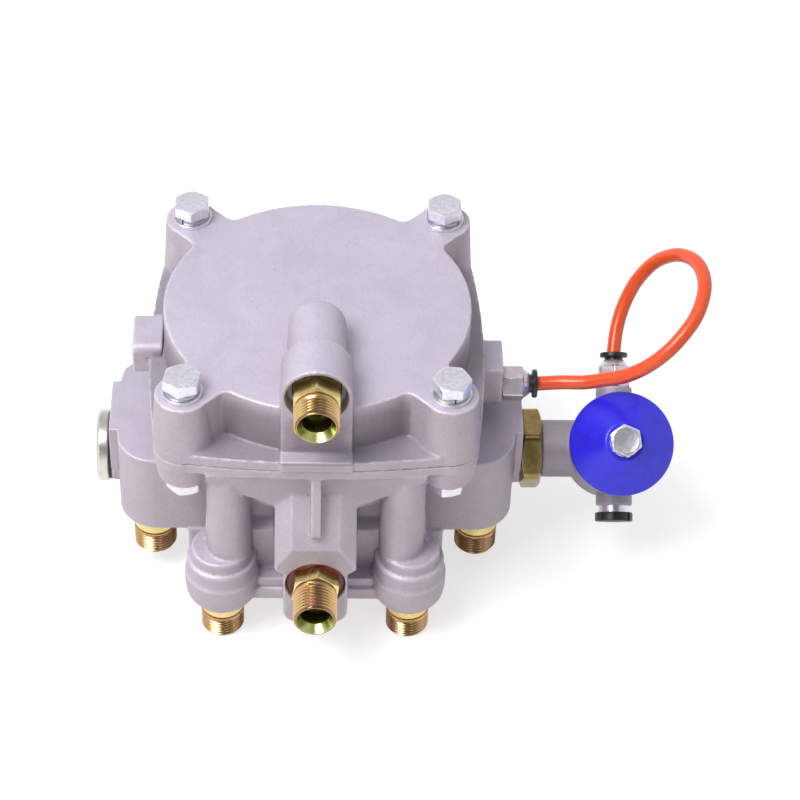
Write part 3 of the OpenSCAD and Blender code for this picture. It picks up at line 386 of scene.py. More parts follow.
cast_finish("cast_aluminium", top=colour(202, 194, 209), wall=colour(194, 183, 192),
            worn_and_highlight=colour(236, 231, 240), dark_grain_and_shade=colour(96, 87, 94))
cast_finish("release_casting", top=colour(172, 165, 174), wall=colour(164, 157, 166),
            worn_and_highlight=colour(206, 202, 210), dark_grain_and_shade=colour(92, 86, 92))
print("cast finishes:", sorted(finishes))

# %% [markdown]
# Turned and plated metals differ in colour and in their skin: bright zinc is blotchy and a little dull,
# nickel and brass are smooth, and bare steel lies between. One function gives them all, since only the
# numbers differ: clouds between two colours, a fine scratch, and gloss that is a little uneven where the
# clouds are.


# %% Plated and turned metals
def metal_finish(name, low, high, rough, cloud_mm, scratch=0.012, blotch=0.1, metal=1.0):
    """A metal whose colour drifts from low to high in clouds of cloud_mm, with scratches so many mm deep."""
    f = Finish(name, Metallic=metal)
    drift = f.noise(cloud_mm, 3.0, 0.55, distortion=0.4)
    base = f.node("ShaderNodeValToRGB", {"stops": [(0.3, low), (0.7, high)]}, [drift], "Color")
    fine = f.noise(0.35, 3.0, 0.6)
    f.set(Base_Color=base, Roughness=rough + (drift - 0.5) * blotch + fine * 0.06,
          Normal=f.bump(fine, scratch, f.bump(drift, 0.05)))
    finishes[name] = f.material


metal_finish("bright_zinc", colour(214, 212, 220), colour(238, 236, 243), 0.28, 1.8,
             scratch=0.006, blotch=0.12, metal=0.85)
metal_finish("nickel_plate", colour(206, 196, 202), colour(226, 217, 222), 0.24, 5.0, metal=0.8)
metal_finish("spring_steel", colour(150, 152, 158), colour(186, 188, 192), 0.34, 3.0)
metal_finish("brass_nut", colour(128, 108, 64), colour(168, 150, 98), 0.15, 7.0)
metal_finish("plug_steel", colour(196, 194, 188), colour(214, 212, 206), 0.30, 3.0)
metal_finish("steel", colour(168, 170, 174), colour(196, 198, 200), 0.30, 5.0)
metal_finish("machined_aluminium", colour(198, 196, 202), colour(222, 220, 226), 0.32, 6.0)
print("metal finishes:", len(finishes))

# %% [markdown]
# Yellow passivated zinc shows a different tint on each zone of a fitting, since the bath dries unevenly. The
# pieces carry a number that tells hexagon, thread, cone and bore apart, and another that tells how deep in a
# groove a point lies. Crests are rubbed pinkish gold, grooves are painted darker brown as shade, the cone is
# bright greenish gold, and the bore is painted a darker olive as shade inside the hole. Masks drawn from the
# place alone could hardly tell these zones apart, because the fittings point in different directions.


# %% Yellow zinc by zones
def yellow_finish(name):
    """Zone 0 is hexagon and shoulder, 1 thread, 2 cone and 3 bore; depth is 0 on a crest and 1 in a groove."""
    f = Finish(name, Metallic=1.0)
    zone, depth = f.carried("zone"), f.carried("depth")
    drift = f.noise(6.0, 3.0, 0.55, distortion=0.4)
    fine = f.noise(0.4, 3.0, 0.6)
    share = drift.step(0.38, 0.62)
    body = f.blend(share, colour(208, 192, 128), colour(230, 208, 150))
    crest = f.blend(share, colour(216, 190, 122), colour(226, 178, 144))
    # Grooves are painted darker brown as shade, by how deep in the groove a point lies.
    thread = f.blend((depth * 0.8).clip(), crest, colour(122, 86, 60))
    base = f.blend(zone.step(0.4, 0.6), body, thread)
    base = f.blend(zone.step(1.4, 1.6), base, colour(198, 200, 138))
    # The bore is painted a darker olive as shade inside the hole.
    base = f.blend(zone.step(2.4, 2.6), base, colour(150, 146, 96))
    f.set(Base_Color=base, Roughness=0.2 + (drift - 0.5) * 0.15 + fine * 0.1, Normal=f.bump(fine, 0.012))
    finishes[name] = f.material


yellow_finish("yellow_zinc")
print("zones have their own tint")

# %% [markdown]
# Rubber and plastic reflect little and take their colour from inside. Rubber is dusty and matt, moulded
# plastic has a very fine erosion texture, the knob's blue coat is satin, and the tube's polyurethane is
# smooth and glossy.


# %% Rubber, plastic and coats
def soft_finish(name, light, dark, rough, grain_mm, depth, **constants):
    """A non-metal with clouds between two close colours, and a grain so many mm across and deep."""
    f = Finish(name, **constants)
    clouds = f.noise(6.0, 4.0, 0.6)
    grain = f.noise(grain_mm, 3.0, 0.6)
    f.set(Base_Color=f.blend(clouds.step(0.35, 0.65), dark, light), Roughness=rough + (grain - 0.5) * 0.12,
          Normal=f.bump(grain, depth))
    finishes[name] = f.material


soft_finish("black_rubber", colour(44, 42, 44), colour(28, 27, 29), 0.62, 0.6, 0.03)
soft_finish("red_rubber", colour(128, 58, 54), colour(88, 34, 36), 0.38, 0.6, 0.03)
soft_finish("black_plastic", colour(38, 36, 40), colour(24, 23, 26), 0.36, 0.4, 0.015)
soft_finish("blue_knob", colour(40, 34, 222), colour(34, 28, 204), 0.34, 1.0, 0.01,
            Metallic=0.1, Coat_Weight=0.25, Coat_Roughness=0.25)
soft_finish("orange_tube", colour(224, 79, 24), colour(219, 73, 20), 0.32, 2.0, 0.001,
            Coat_Weight=0.3, Coat_Roughness=0.12)
print("all finishes:", len(finishes))

# %% [markdown]
# A new piece needs two things besides its shape: the finish, which is looked up by the name of its slot in the
# record, and the body that it rides on when the valve moves. The pieces that come over from the imported model
# have their body already, so only their finish is set.


# %% Finishes for all pieces
def finish_piece(piece, slot, body="valve_housing"):
    """Gives a piece the finish of a slot in the record, and the body that it rides on."""
    piece.data.materials.clear()
    piece.data.materials.append(finishes[slot])
    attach(piece, body)
    return piece


for entry in frame["record"]["subparts"]:
    part = nodes[entry["node"]]
    for place in part.material_slots:
        place.material = finishes[entry["material_slot"]]
print("every carried-over node has its finish")

# %% [markdown]
# The pilot tube is 7.4 mm polyurethane, stiff and springy, held in a push-in fitting at each end. Its route
# repeats the frame's own points. A smooth curve through them gives the tube its real length, and the surface
# is a circle carried along it, with each ring square to the path. The rings are turned by a direction that
# the tube never takes, so they don't twist. A curve object with a bevel would look alike, but its mesh would
# be left to Blender.

# %% Pilot tube
TUBE_R, TUBE_COLS = 3.7, 28
LOOP_UP = np.array([0, -0.67, 0.74])
TUBE_POINTS = np.array([
    [105.4, 0, 81], [109.4, 0, 81], [113.4, 0, 81], [125, -0.5, 82.5], [137, -3.5, 85.5], [147, -6.5, 90.5],
    [157, -9.5, 96], [167, -11, 104], [175.5, -10, 112], [183, -6, 119], [190.5, 2, 125.5],
    [195, 12.5, 130], [196.5, 23.5, 132], [195, 35.5, 131.5], [191, 46, 128], [185, 54, 122.5],
    [177.5, 60, 113.5], [171.5, 62, 104], [166, 60.5, 94.5], [161, 55, 84], [158, 47.5, 75.5],
    [156.5, 38.7, 67.7], [156.5, 35.7, 65], [156.5, 32.7, 62.4]])


def smooth_path(points, each=6):
    """A Catmull-Rom curve: each stretch between two points is a cubic, with slopes from its neighbours."""
    p = np.concatenate([[2 * points[0] - points[1]], points, [2 * points[-1] - points[-2]]])
    a, b, c, d = p[:-3], p[1:-2], p[2:-1], p[3:]
    t = (np.arange(each) / each)[None, :, None]
    a, b, c, d = a[:, None], b[:, None], c[:, None], d[:, None]
    path = 0.5 * (2 * b + (c - a) * t + (2 * a - 5 * b + 4 * c - d) * t**2 + (3 * b - a - 3 * c + d) * t**3)
    return np.concatenate([path.reshape(-1, 3), points[-1:]])


def swept(path, section, up):
    """A closed section (n, 2) carried along a path, its axes square to the path and the first also to up."""
    along = unit(np.gradient(path, axis=0))
    side = unit(np.cross(along, up))
    over = np.cross(side, along)
    return path[:, None] + section[None, :, :1] * side[:, None] + section[None, :, 1:] * over[:, None]


def capped(grid):
    """A swept grid with its two ends drawn to their middle points, so that it is closed."""
    ends = [np.broadcast_to(row.mean(0), row.shape)[None] for row in (grid[0], grid[-1])]
    return np.concatenate([ends[0], grid, ends[1]])


tube_path = smooth_path(TUBE_POINTS)
turn = np.linspace(0, 2 * np.pi, TUBE_COLS, endpoint=False)
circle = TUBE_R * np.stack([np.cos(turn), np.sin(turn)], 1)
tube = surface("pilot_tube_skin", [capped(swept(tube_path, circle, LOOP_UP)) * MM])
finish_piece(tube, "orange_tube")
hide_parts("pilot_tube")

# %% [markdown]
# Castings have no sharp edges: the mould rounds them and the metal pulls into soft hollows. A merged copy of
# the casting is cut into even cells, and then each point moves a few times to the mean of its neighbours.
# That rounds corners and fills inner edges alike. How far a point moved also tells edges from hollows.
# Bevelled edges would be lighter, but they fail where several forms run into each other, as they do all over
# a casting.


# %% Copies, points and numbers of a mesh
SAME_POINT = 1e-6


def merged_copy(node, name):
    """A copy of a node's mesh whose loose triangles are joined."""
    mesh = nodes[node].data.copy()
    mesh.name = name
    work = bmesh.new()
    work.from_mesh(mesh)
    bmesh.ops.remove_doubles(work, verts=work.verts, dist=SAME_POINT)
    work.to_mesh(mesh)
    work.free()
    return new_piece(name, mesh)


def apply_modifiers(piece):
    """The piece's mesh with its modifiers worked in."""
    shown = piece.evaluated_get(bpy.context.evaluated_depsgraph_get())
    mesh = bpy.data.meshes.new_from_object(shown)
    piece.modifiers.clear()
    piece.data = mesh
    return mesh


def rows_of(items, key, width, kind=np.float32):
    """One row of width numbers for each vertex or edge."""
    flat = np.empty(len(items) * width, kind)
    items.foreach_get(key, flat)
    return flat.reshape(-1, width)


def points_of(mesh):
    """All points of a mesh as an array."""
    return rows_of(mesh.vertices, "co", 3).astype(float)


def move_points(mesh, points):
    """Puts the mesh's points where the rows of an array say."""
    mesh.vertices.foreach_set("co", points.astype(np.float32).ravel())
    mesh.update()


def mark(mesh, name, values):
    """Keeps one number per point on the mesh under a name that a finish can read."""
    layer = mesh.attributes.new(name, "FLOAT", "POINT")
    layer.data.foreach_set("value", np.asarray(values, np.float32))


print("helpers for meshes are ready")


# %% Rounding
def neighbour_mean(points, edges):
    """The mean of each point's neighbours along the edges, summed per coordinate."""
    a, b = np.concatenate([edges, edges[:, ::-1]]).T
    count = np.bincount(a, minlength=len(points))[:, None]
    total = np.stack([np.bincount(a, points[b, k], len(points)) for k in range(3)], 1)
    return total / np.maximum(count, 1)


def smoothed(points, edges, passes, share):
    """Points after some passes, in each of which a point goes the share of its way to its neighbours' mean."""
    for _ in range(passes):
        points = points + share * (neighbour_mean(points, edges) - points)
    return points


print("helpers for rounding are ready")

# %% [markdown]
# Three things about these castings depend on where a point lies. A dark film runs along the joint of body and
# cover. Shade of the lobes is painted onto the cover's round wall and the flange at its foot, darker than the
# lamps alone make them. And the release valve has a machined bore in which a spool slides: rounding would make
# it narrower at its corners, so its wall gives way by a little more than that. The valve leans forward, and
# its axes are set here.

# %% Seam, painted shade and spool bore
PARTING, SEAM_HALF = 100.7, 0.4
WALL_R, WALL_SOFT, WALL_TOP, WALL_FADE, WALL_DARK = 80.5, 2.0, 134.0, 8.0, 0.85
FLANGE_TOP, FLANGE_NEAR, FLANGE_R, FLANGE_FADE, FLANGE_DARK = 106.7, 0.45, 106.0, 12.0, 0.72
VALVE_AT = np.array([156.5, 0.0, 34.0])
TILT = np.radians(49.0)
KNOB_AXIS = np.array([0.0, -np.cos(TILT), np.sin(TILT)])
CROSS_AXIS = np.array([0.0, np.sin(TILT), np.cos(TILT)])
SPOOL_BORE_R, SPOOL_FLOOR, SPOOL_MOUTH, BORE_RELIEF = 9.6, -24.0, 12.0, 0.45


def nowhere(p):
    """No point is marked."""
    return np.zeros(len(p))


def seam_shade(p):
    """1 on the film along the joint between body and cover, which is twice SEAM_HALF high, and 0 elsewhere."""
    return np.where(np.abs(p[:, 2] - PARTING) < SEAM_HALF, 1.0, 0.0)


def cover_shade(p):
    """The seam, and painted shade on the cover's round wall, darker downwards, and on the flange at its foot,
    darker inwards.
    """
    radius = np.hypot(p[:, 0], p[:, 1])
    wall = np.clip((WALL_R - radius) / WALL_SOFT, 0, 1) * np.clip((WALL_TOP - p[:, 2]) / WALL_FADE, 0, 1)
    flange = np.clip((FLANGE_R - radius) / FLANGE_FADE, 0, 1) * (np.abs(p[:, 2] - FLANGE_TOP) < FLANGE_NEAR)
    return np.maximum(seam_shade(p), np.maximum(WALL_DARK * wall, FLANGE_DARK * flange))


def spool_bore(p):
    """True on the release casting's inner wall and floor: near the knob's axis and below its mouth."""
    along = (p - VALVE_AT) @ KNOB_AXIS
    out = np.linalg.norm(p - VALVE_AT - along[:, None] * KNOB_AXIS, axis=1)
    return (out < SPOOL_BORE_R) & (along > SPOOL_FLOOR) & (along < SPOOL_MOUTH)


print("release valve leans by", round(float(np.degrees(TILT))), "degrees")

# %% [markdown]
# A finish can't know where an edge or a hollow is, so each casting carries that as numbers. A point that
# rounding pushed inwards sat on an edge, and one that it pulled outwards sat in a corner: that gives a number
# that is high on edges, which are worn and painted with a highlight, and low in creases, which get painted
# shade. Many more passes melt the whole shape down, and a point that now lies below the melted shape is deep,
# and is painted darker as shade. All points are kept until these numbers are known, and then the mesh is
# thinned where it is nearly flat.


# %% The three castings
ROUND_SHARE, WIDE_PASSES = 0.5, 110
EDGE_CREASE_GAIN, DEEP_MM, DEEP_MOST = 1.6, 3.0, 0.45


def casting(node, slot, cell_mm, passes, keep, shade=nowhere, bore=nowhere):
    """A node's casting: even cells, rounded by passes of the neighbour mean, then thinned to the share keep.

    shade gives each point, in millimetres, a darkness from 0 to 1, which is the seam's dark film and, on the
    cover, painted shade. bore marks the points of a machined bore, which go into the wall by BORE_RELIEF.
    Lengths along the normal are positive outwards.
    """
    piece = merged_copy(node, node + "_casting")
    cells = piece.modifiers.new("cells", "REMESH")
    cells.mode, cells.voxel_size = "VOXEL", cell_mm * MM
    mesh = apply_modifiers(piece)
    edges = rows_of(mesh.edges, "vertices", 2, np.int32)
    start = points_of(mesh)
    points = smoothed(start, edges, passes, ROUND_SHARE)
    move_points(mesh, points)
    normals = rows_of(mesh.vertices, "normal", 3)
    moved = ((points - start) * normals).sum(1) / (cell_mm * MM)
    # High on edges, which get wear and a painted highlight, and low in creases, which get painted shade.
    mark(mesh, "wear", np.clip(0.5 - EDGE_CREASE_GAIN * moved, 0, 1))
    points = points - normals * (BORE_RELIEF * MM) * bore(points / MM)[:, None]
    move_points(mesh, points)
    # deep is painted shade for points below the melted shape, and takes the shade function's darkness where
    # that is greater.
    sunk = ((smoothed(points, edges, WIDE_PASSES, 1.0) - start) * normals).sum(1) / MM
    mark(mesh, "deep", np.maximum(DEEP_MOST * np.clip(sunk / DEEP_MM, 0, 1), shade(points / MM)))
    piece.modifiers.new("thin", "DECIMATE").ratio = keep
    mesh = apply_modifiers(piece)
    mesh.shade_smooth()
    finish_piece(piece, slot)
    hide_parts(node)
    print(piece.name, len(mesh.polygons), "faces, attributes", [a.name for a in mesh.attributes])


casting("main_body", "cast_aluminium", cell_mm=0.75, passes=2, keep=0.26, shade=seam_shade)
casting("top_cover", "cast_aluminium", cell_mm=0.65, passes=2, keep=0.3, shade=cover_shade)
casting("release_body", "release_casting", cell_mm=0.6, passes=3, keep=0.5, bore=spool_bore)

# %% [markdown]
# Small metal pieces are grids in polar form: every row has a radius and a height, and both may change with
# the angle. That is enough for a hexagon whose corners a cone has turned off: in each direction the flat side
# runs up to where it meets the cone, so the bright arcs on a nut fall exactly between two rows.


# %% Hexagons
FRONT, RIGHT, LEFT, UP, DOWN = (0, -1, 0), (1, 0, 0), (-1, 0, 0), (0, 0, 1), (0, 0, -1)
COLS = 144
ANGLE = np.linspace(0, 2 * np.pi, COLS, endpoint=False)


def polar(rows):
    """Rows of (radius, height), each a number or an array over the angle, as one grid."""
    r, z = (np.stack([np.broadcast_to(row[k], COLS) for row in rows]) for k in (0, 1))
    return np.stack([r * np.cos(ANGLE), r * np.sin(ANGLE), z], -1)


def hex_radius(flats, turn_deg=0.0, corner_cut=0.985):
    """Distance to a hexagon's side in each direction, its corners at 30 + 60 k degrees and slightly cut."""
    part = (ANGLE - np.radians(turn_deg) + np.pi / 6) % (np.pi / 3) - np.pi / 6
    return np.minimum(flats / 2 / np.cos(part), flats / 2 / np.cos(np.pi / 6) * corner_cut)


def chamfered(side, flat_r, z, up, slope=0.55, lip=0.25):
    """Rows from a hexagon's side over the chamfer cone to its round face at height z; up is +1 or -1.

    In each direction the cone starts where it has fallen by slope times the way from the face to the side.
    """
    meet = z - up * np.maximum(side - flat_r, 0.02) * slope
    return [(side, meet - up * lip), (side - 0.3 * lip, meet + up * 0.1 * lip), (flat_r, z)]


def group(name, node, slot, grids, body="valve_housing", smooth=32):
    """Several grids that stand for one node of the frame."""
    piece = finish_piece(surface(name, grids, smooth=smooth), slot, body)
    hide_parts(node)
    return piece


print("hexagon helpers are ready,", COLS, "columns each")

# %% [markdown]
# A thread is the same grid once more: its radius falls and rises with height, and the phase runs once round
# the circle for every pitch, which makes the grooves climb. Rows lie a tenth of a pitch apart, so crests stay
# sharp. A bump map would do for a thread seen from afar, but here the grooves show in the outline.


# %% Port fittings
PORT_R, BORE_R, MOUTH_R, PITCH, GROOVE = 11.0, 7.0, 9.4, 1.95, 1.0
CONE_END, BORE_END, HOLE_R, HOLE_END = 4.7, 14.0, 5.5, 20.0


def thread_rows(z_low, z_high, radius=PORT_R, pitch=PITCH, groove=GROOVE, run_in=1.1):
    """Rows of a thread between two heights: flat crests, sloped flanks, and a cone of run_in at the top."""
    z = np.arange(z_low, z_high, pitch / 10)
    phase = (z[:, None] / pitch - ANGLE[None] / (2 * np.pi)) % 1.0
    depth = np.clip(1.35 - 2.9 * np.abs(phase - 0.5), 0, 1) * groove
    fade = np.clip((z - z_low) / pitch, 0, 1)[:, None]
    crest = np.minimum(radius, radius - run_in + (z_high - z)[:, None] * 1.2)
    return [(np.minimum(c, radius - d * f), h) for c, d, f, h in zip(crest, depth, fade, z)]


def fitting(node, at, out, body_rows, thread_low, end, stud):
    """A port fitting along its own +Z: stud, given body rows, thread, coned mouth and bore, with zones marked.

    A point's height is its part along the axis, and its radius is what is left of its distance from at.
    """
    back = [(0.0, -stud), (PORT_R - 1, -stud), (PORT_R - 0.05, -stud + 1)]
    thread = thread_rows(thread_low, end - 0.15)
    mouth = [(PORT_R - 1.05, end), (MOUTH_R + 0.35, end), (MOUTH_R, end - 0.12),
             (BORE_R + 0.15, end - CONE_END + 0.25), (BORE_R, end - CONE_END), (BORE_R, end - BORE_END + 0.1),
             (HOLE_R, end - BORE_END), (HOLE_R, end - HOLE_END), (0.0, end - HOLE_END)]
    grid = placed(polar(back + body_rows + thread + mouth), at, out, RIGHT)
    mesh = group(node + "_skin", node, "yellow_zinc", [grid]).data
    local = points_of(mesh) / MM - np.asarray(at)
    height = local @ unit(out)
    radius = np.sqrt(np.maximum((local**2).sum(1) - height**2, 0))
    inside = (radius < MOUTH_R + 0.1) & (height > end - HOLE_END - 1)
    zone = np.where(inside, 2.0, np.where(height > thread_low - 0.3, 1.0, 0.0))
    mark(mesh, "zone", zone + np.where(inside & (height < end - CONE_END + 0.1), 1.0, 0.0))
    mark(mesh, "depth", np.clip((PORT_R - radius) / GROOVE, 0, 1))


def hex_rows(flats, length, turn_deg, undercut):
    """Rows of a hexagon from zero to length, chamfered at both ends, then the undercut before the thread."""
    side = hex_radius(flats, turn_deg)
    face = flats / 2 - 0.25
    low = chamfered(side, face, 0.0, -1)
    return low[::-1] + chamfered(side, face, length, 1) + [(undercut, length), (undercut, length + 1.2)]


def shoulder_rows(length):
    """Rows of a plain round shoulder with a narrow groove under the thread."""
    return [(PORT_R, 0.0), (PORT_R, length - 1.3), (PORT_R - 0.35, length - 0.9), (PORT_R - 0.8, length - 0.7),
            (PORT_R - 0.8, length + 0.3)]


PORT_FLATS, UNDERCUT_R = 22.5, PORT_R - 1.1
fitting("control_fitting", (0, -72, 143.7), FRONT, hex_rows(PORT_FLATS, 12.5, 0.0, UNDERCUT_R),
        thread_low=14.0, end=26.0, stud=13.0)
fitting("supply_fitting", (0, -90, 27), FRONT, hex_rows(PORT_FLATS, 8.0, -8.0, UNDERCUT_R),
        thread_low=9.4, end=26.0, stud=14.0)
outlets = {"front": (47.8, -70, -3.5, 8.0, 21.5), "side": (84.3, -24, 14, 11.5, 25.5)}
for row, (x, y, z, shoulder, end) in outlets.items():
    for hand, sign in (("left", -1), ("right", 1)):
        fitting(f"{row}_{hand}_fitting", (sign * x, y, z), DOWN, shoulder_rows(shoulder),
                thread_low=shoulder + 0.5, end=end, stud=10.0)
print("six threaded fittings")

# %% [markdown]
# The cover's bolts stand on a split spring washer and a plain washer, and their heads aren't all in line, as a
# wrench leaves them. Below, a nut holds each bolt against the body's lobe. All four of a kind share one mesh,
# as their nodes do, so each kind is a list of grids that differ only in place and turn.

# %% Bolts, nuts and washers
BOLT_AT = np.array([[-65, -65], [-65, 65], [65, -65], [65, 65]], float)
HEAD_TURNS = (-9.0, 0.0, 30.0, 0.0)
COVER_TOP, LOBE_LOW = 135.0, 82.2
BOLT_FLATS, SHANK_R, HOLE_EDGE, WASHER_HIGH, STACK_HIGH = 17.0, 5.0, 5.05, 2.0, 4.5
HEAD_HIGH, NUT_HIGH, TIP_Z, THREAD_TOP = 6.4, 8.0, LOBE_LOW - 12.0, LOBE_LOW - 9


def upright(grid, x, y):
    """A grid carried from the main axis to a bolt."""
    return placed(grid, (x, y, 0), UP, RIGHT)


def bolt_grid(turn_deg):
    """Head and shank of a cover bolt; the few threaded rows at its lower end narrow towards the nut."""
    low = COVER_TOP + STACK_HIGH
    high = low + HEAD_HIGH
    side = hex_radius(BOLT_FLATS, turn_deg)
    tip = [(0.0, TIP_Z), (4.0, TIP_Z)]
    thread = thread_rows(TIP_Z + 0.1, THREAD_TOP, SHANK_R, pitch=1.5, groove=0.6, run_in=5.0)
    shank = [(SHANK_R, THREAD_TOP), (SHANK_R, low), (side * 0.97, low), (side, low + 0.2)]
    head = chamfered(side, 7.75, high, 1, 0.5)
    dish = [(7.3, high - 0.02), (6.9, high - 0.12), (0.0, high - 0.12)]
    return polar(tip + thread + shank + head + dish)


def washer_grid(r_in, r_out, low, high, edge=0.2):
    """A plain ring whose outer edges are broken by edge."""
    return polar([(r_in, low), (r_out - edge, low), (r_out, low + edge), (r_out, high - edge),
                  (r_out - edge, high), (r_in + edge, high), (r_in, high - edge), (r_in, low)])


def nut_grid(turn_deg):
    """A nut under the lobe, chamfered on both faces."""
    side = hex_radius(BOLT_FLATS, turn_deg)
    high = LOBE_LOW - WASHER_HIGH
    low = high - NUT_HIGH
    faces = chamfered(side, 7.9, low, -1)[::-1] + chamfered(side, 7.9, high, 1)
    return polar([(HOLE_EDGE, low)] + faces + [(HOLE_EDGE, high), (HOLE_EDGE, low)])


group("cover_bolts_skin", "cover_bolts", "bright_zinc",
      [upright(bolt_grid(t), x, y) for t, (x, y) in zip(HEAD_TURNS, BOLT_AT)])
group("flat_washers_skin", "flat_washers", "bright_zinc",
      [upright(washer_grid(HOLE_EDGE, 10.0, z, z + WASHER_HIGH), x, y)
       for x, y in BOLT_AT for z in (COVER_TOP, LOBE_LOW - WASHER_HIGH)])
group("cover_nuts_skin", "cover_nuts", "bright_zinc", [upright(nut_grid(-15.0), x, y) for x, y in BOLT_AT])


def split_ring(r_in, r_out, low, high, gap_at, gap_deg=5.0, count=90):
    """A ring of square section with rounded corners that is open for gap_deg at the angle gap_at."""
    turn = np.radians(gap_at + np.linspace(gap_deg / 2, 360 - gap_deg / 2, count))[:, None]
    section = round_corners([(r_in, low), (r_out, low), (r_out, high), (r_in, high), (r_in, low)], 0.3, 2)
    r, z = section.T
    return capped(np.stack([np.cos(turn) * r, np.sin(turn) * r, z + 0 * turn], -1))


group("spring_washers_skin", "spring_washers", "spring_steel",
      [upright(split_ring(HOLE_EDGE, 9.0, COVER_TOP + WASHER_HIGH + 0.02, COVER_TOP + STACK_HIGH - 0.02,
                          200 + 40 * i), x, y)
       for i, (x, y) in enumerate(BOLT_AT)])
print("bolts, washers and nuts")

# %% [markdown]
# The knob sits at the upper end of the release valve's leaning axis, in the frame that was set for the
# castings. Its top is a cone with a rolled rim, hollow underneath, and a bolt with a small washer holds it on
# its spool. All three move with the spool, so they ride on the knob's body.

# %% Knob and its bolt
KNOB_FLATS, KNOB_HEAD_TURN, HEAD_LOW, HEAD_TOP = 15.0, 8.0, 54.0, 60.0
knob_line = [(0, 33.4), (8, 33.4), (8.6, 34), (9.4, 45), (23, 38.2), (23.6, 36), (26, 36), (26.7, 36.6),
             (27, 37.6), (26.6, 38.6), (10.5, 52.4), (9.6, 53), (4.05, 53), (4.05, 50)]


def on_valve(grid, distance=0.0, axis=KNOB_AXIS):
    """A grid on the knob's axis, or on another axis of the release valve, at a distance from its centre."""
    return placed(grid, VALVE_AT + distance * axis, axis, RIGHT)


group("knob_skin", "release_knob", "blue_knob",
      [on_valve(turned(fine_profile(round_corners(knob_line, 0.7)), 160))], "release_knob_body", 50)
head_side = hex_radius(KNOB_FLATS, KNOB_HEAD_TURN)
stud = [(0.0, 49.6), (4.0, 49.6), (4.0, HEAD_LOW), (head_side * 0.97, HEAD_LOW), (head_side, HEAD_LOW + 0.2)]
dish = [(6.3, HEAD_TOP - 0.04), (5.9, HEAD_TOP - 0.15), (0.0, HEAD_TOP - 0.15)]
knob_head = stud + chamfered(head_side, 6.8, HEAD_TOP, 1, 0.5) + dish
group("knob_bolt_skin", "knob_bolt", "bright_zinc", [on_valve(polar(knob_head))], "release_knob_body")
group("knob_washer_skin", "knob_washer", "bright_zinc",
      [on_valve(washer_grid(4.05, 7.8, HEAD_LOW - 1, HEAD_LOW, 0.15))], "release_knob_body")
print("knob, washer and bolt")

# %% [markdown]
# A flat brass nut locks the release valve to the right side block, and a round steel plug closes the left
# one. Both sit on the same axis. The nut is a hexagon with a chamfer on each face, and the plug is a turned
# disc with a dished face, so each is one call of the helpers above.

# %% Lock nut and plug
BLOCK_FACE, CROSS_Z, LOCK_FLATS, LOCK_FACE_R, LOCK_HIGH, NECK_R = 106.5, 34, 38.0, 18.2, 10.8, 13.0
lock_side = hex_radius(LOCK_FLATS, corner_cut=0.97)
lock_low = chamfered(lock_side, LOCK_FACE_R, 0.0, -1, 0.5, 0.4)
lock_high = chamfered(lock_side, LOCK_FACE_R, LOCK_HIGH, 1, 0.5, 0.4)
lock_hole = [(NECK_R + 1.2, LOCK_HIGH), (NECK_R, LOCK_HIGH - 1), (NECK_R, 0.0)]
group("lock_nut_skin", "release_lock_nut", "brass_nut",
      [placed(polar([(NECK_R, 0.0)] + lock_low[::-1] + lock_high + lock_hole), (BLOCK_FACE, 0, CROSS_Z),
              RIGHT, DOWN)])
plug_line = [(0, -14), (12, -14), (12.95, -13), (12.95, 1.3), (18, 1.3), (18.6, 1.9), (18.6, 6.1), (17.2, 7.5),
             (15.6, 7.5), (14.1, 6.3), (0, 6.3)]
plug = turned(fine_profile(round_corners(plug_line, 0.4)), 144)
group("side_plug_skin", "side_plug", "plug_steel",
      [placed(plug, (-BLOCK_FACE, 0, CROSS_Z), LEFT, UP)], smooth=45)
print("lock nut and plug")

# %% [markdown]
# The pilot tube is pushed into a nickel-plated fitting at each end. A black collet in the fitting's nose
# holds it, and pressing the collet in lets it go, so each collet rides on a body of its own. The small
# exhaust cap at the other end of the cross axis has eight notches: a cosine of eight times the angle, cut off
# below, takes them out of its radius.

# %% Push-in fittings and exhaust cap
PUSH_HEX, SLEEVE_R = 16.0, 4.85


def push_grid():
    """A push-in fitting along +Z from its seat: thread, hexagon, cone, nose and the socket for the collet."""
    side = hex_radius(PUSH_HEX)
    low = chamfered(side, PUSH_HEX / 2 - 0.2, 0.0, -1, 0.5)
    return polar([(0.0, -9.0), (5.6, -9.0), (6.6, -8.0), (6.6, 0.0)] + low[::-1] + [
        (side, 10.6), (np.minimum(side - 0.35, PUSH_HEX / 2 + 0.1), 10.95), (PUSH_HEX / 2 - 0.1, 11.0),
        (PUSH_HEX / 2 - 0.5, 11.4), (6.0, 13.8), (5.6, 14.2), (SLEEVE_R, 14.2), (SLEEVE_R, 5.3), (0.0, 5.3)])


collet_line = [(3.8, 7.7), (4.8, 7.7), (4.8, 15.8), (6.9, 15.8), (7.3, 16.2), (7.3, 17.9), (6.9, 18.3),
               (3.8, 18.3), (3.8, 7.7)]
collet = turned(fine_profile(round_corners(collet_line, 0.25)), 96)
side_seat, top_seat = np.array([94.7, 0.0, 81.0]), 32.5
group("side_push_skin", "side_tube_fitting", "nickel_plate", [placed(push_grid(), side_seat, RIGHT, DOWN)])
group("top_push_skin", "top_tube_fitting", "nickel_plate", [on_valve(push_grid(), top_seat, CROSS_AXIS)])
group("side_collet_skin", "side_collet", "black_plastic", [placed(collet, side_seat, RIGHT, DOWN)],
      "side_collet_body", 50)
group("top_collet_skin", "top_collet", "black_plastic", [on_valve(collet, top_seat, CROSS_AXIS)],
      "top_collet_body", 50)

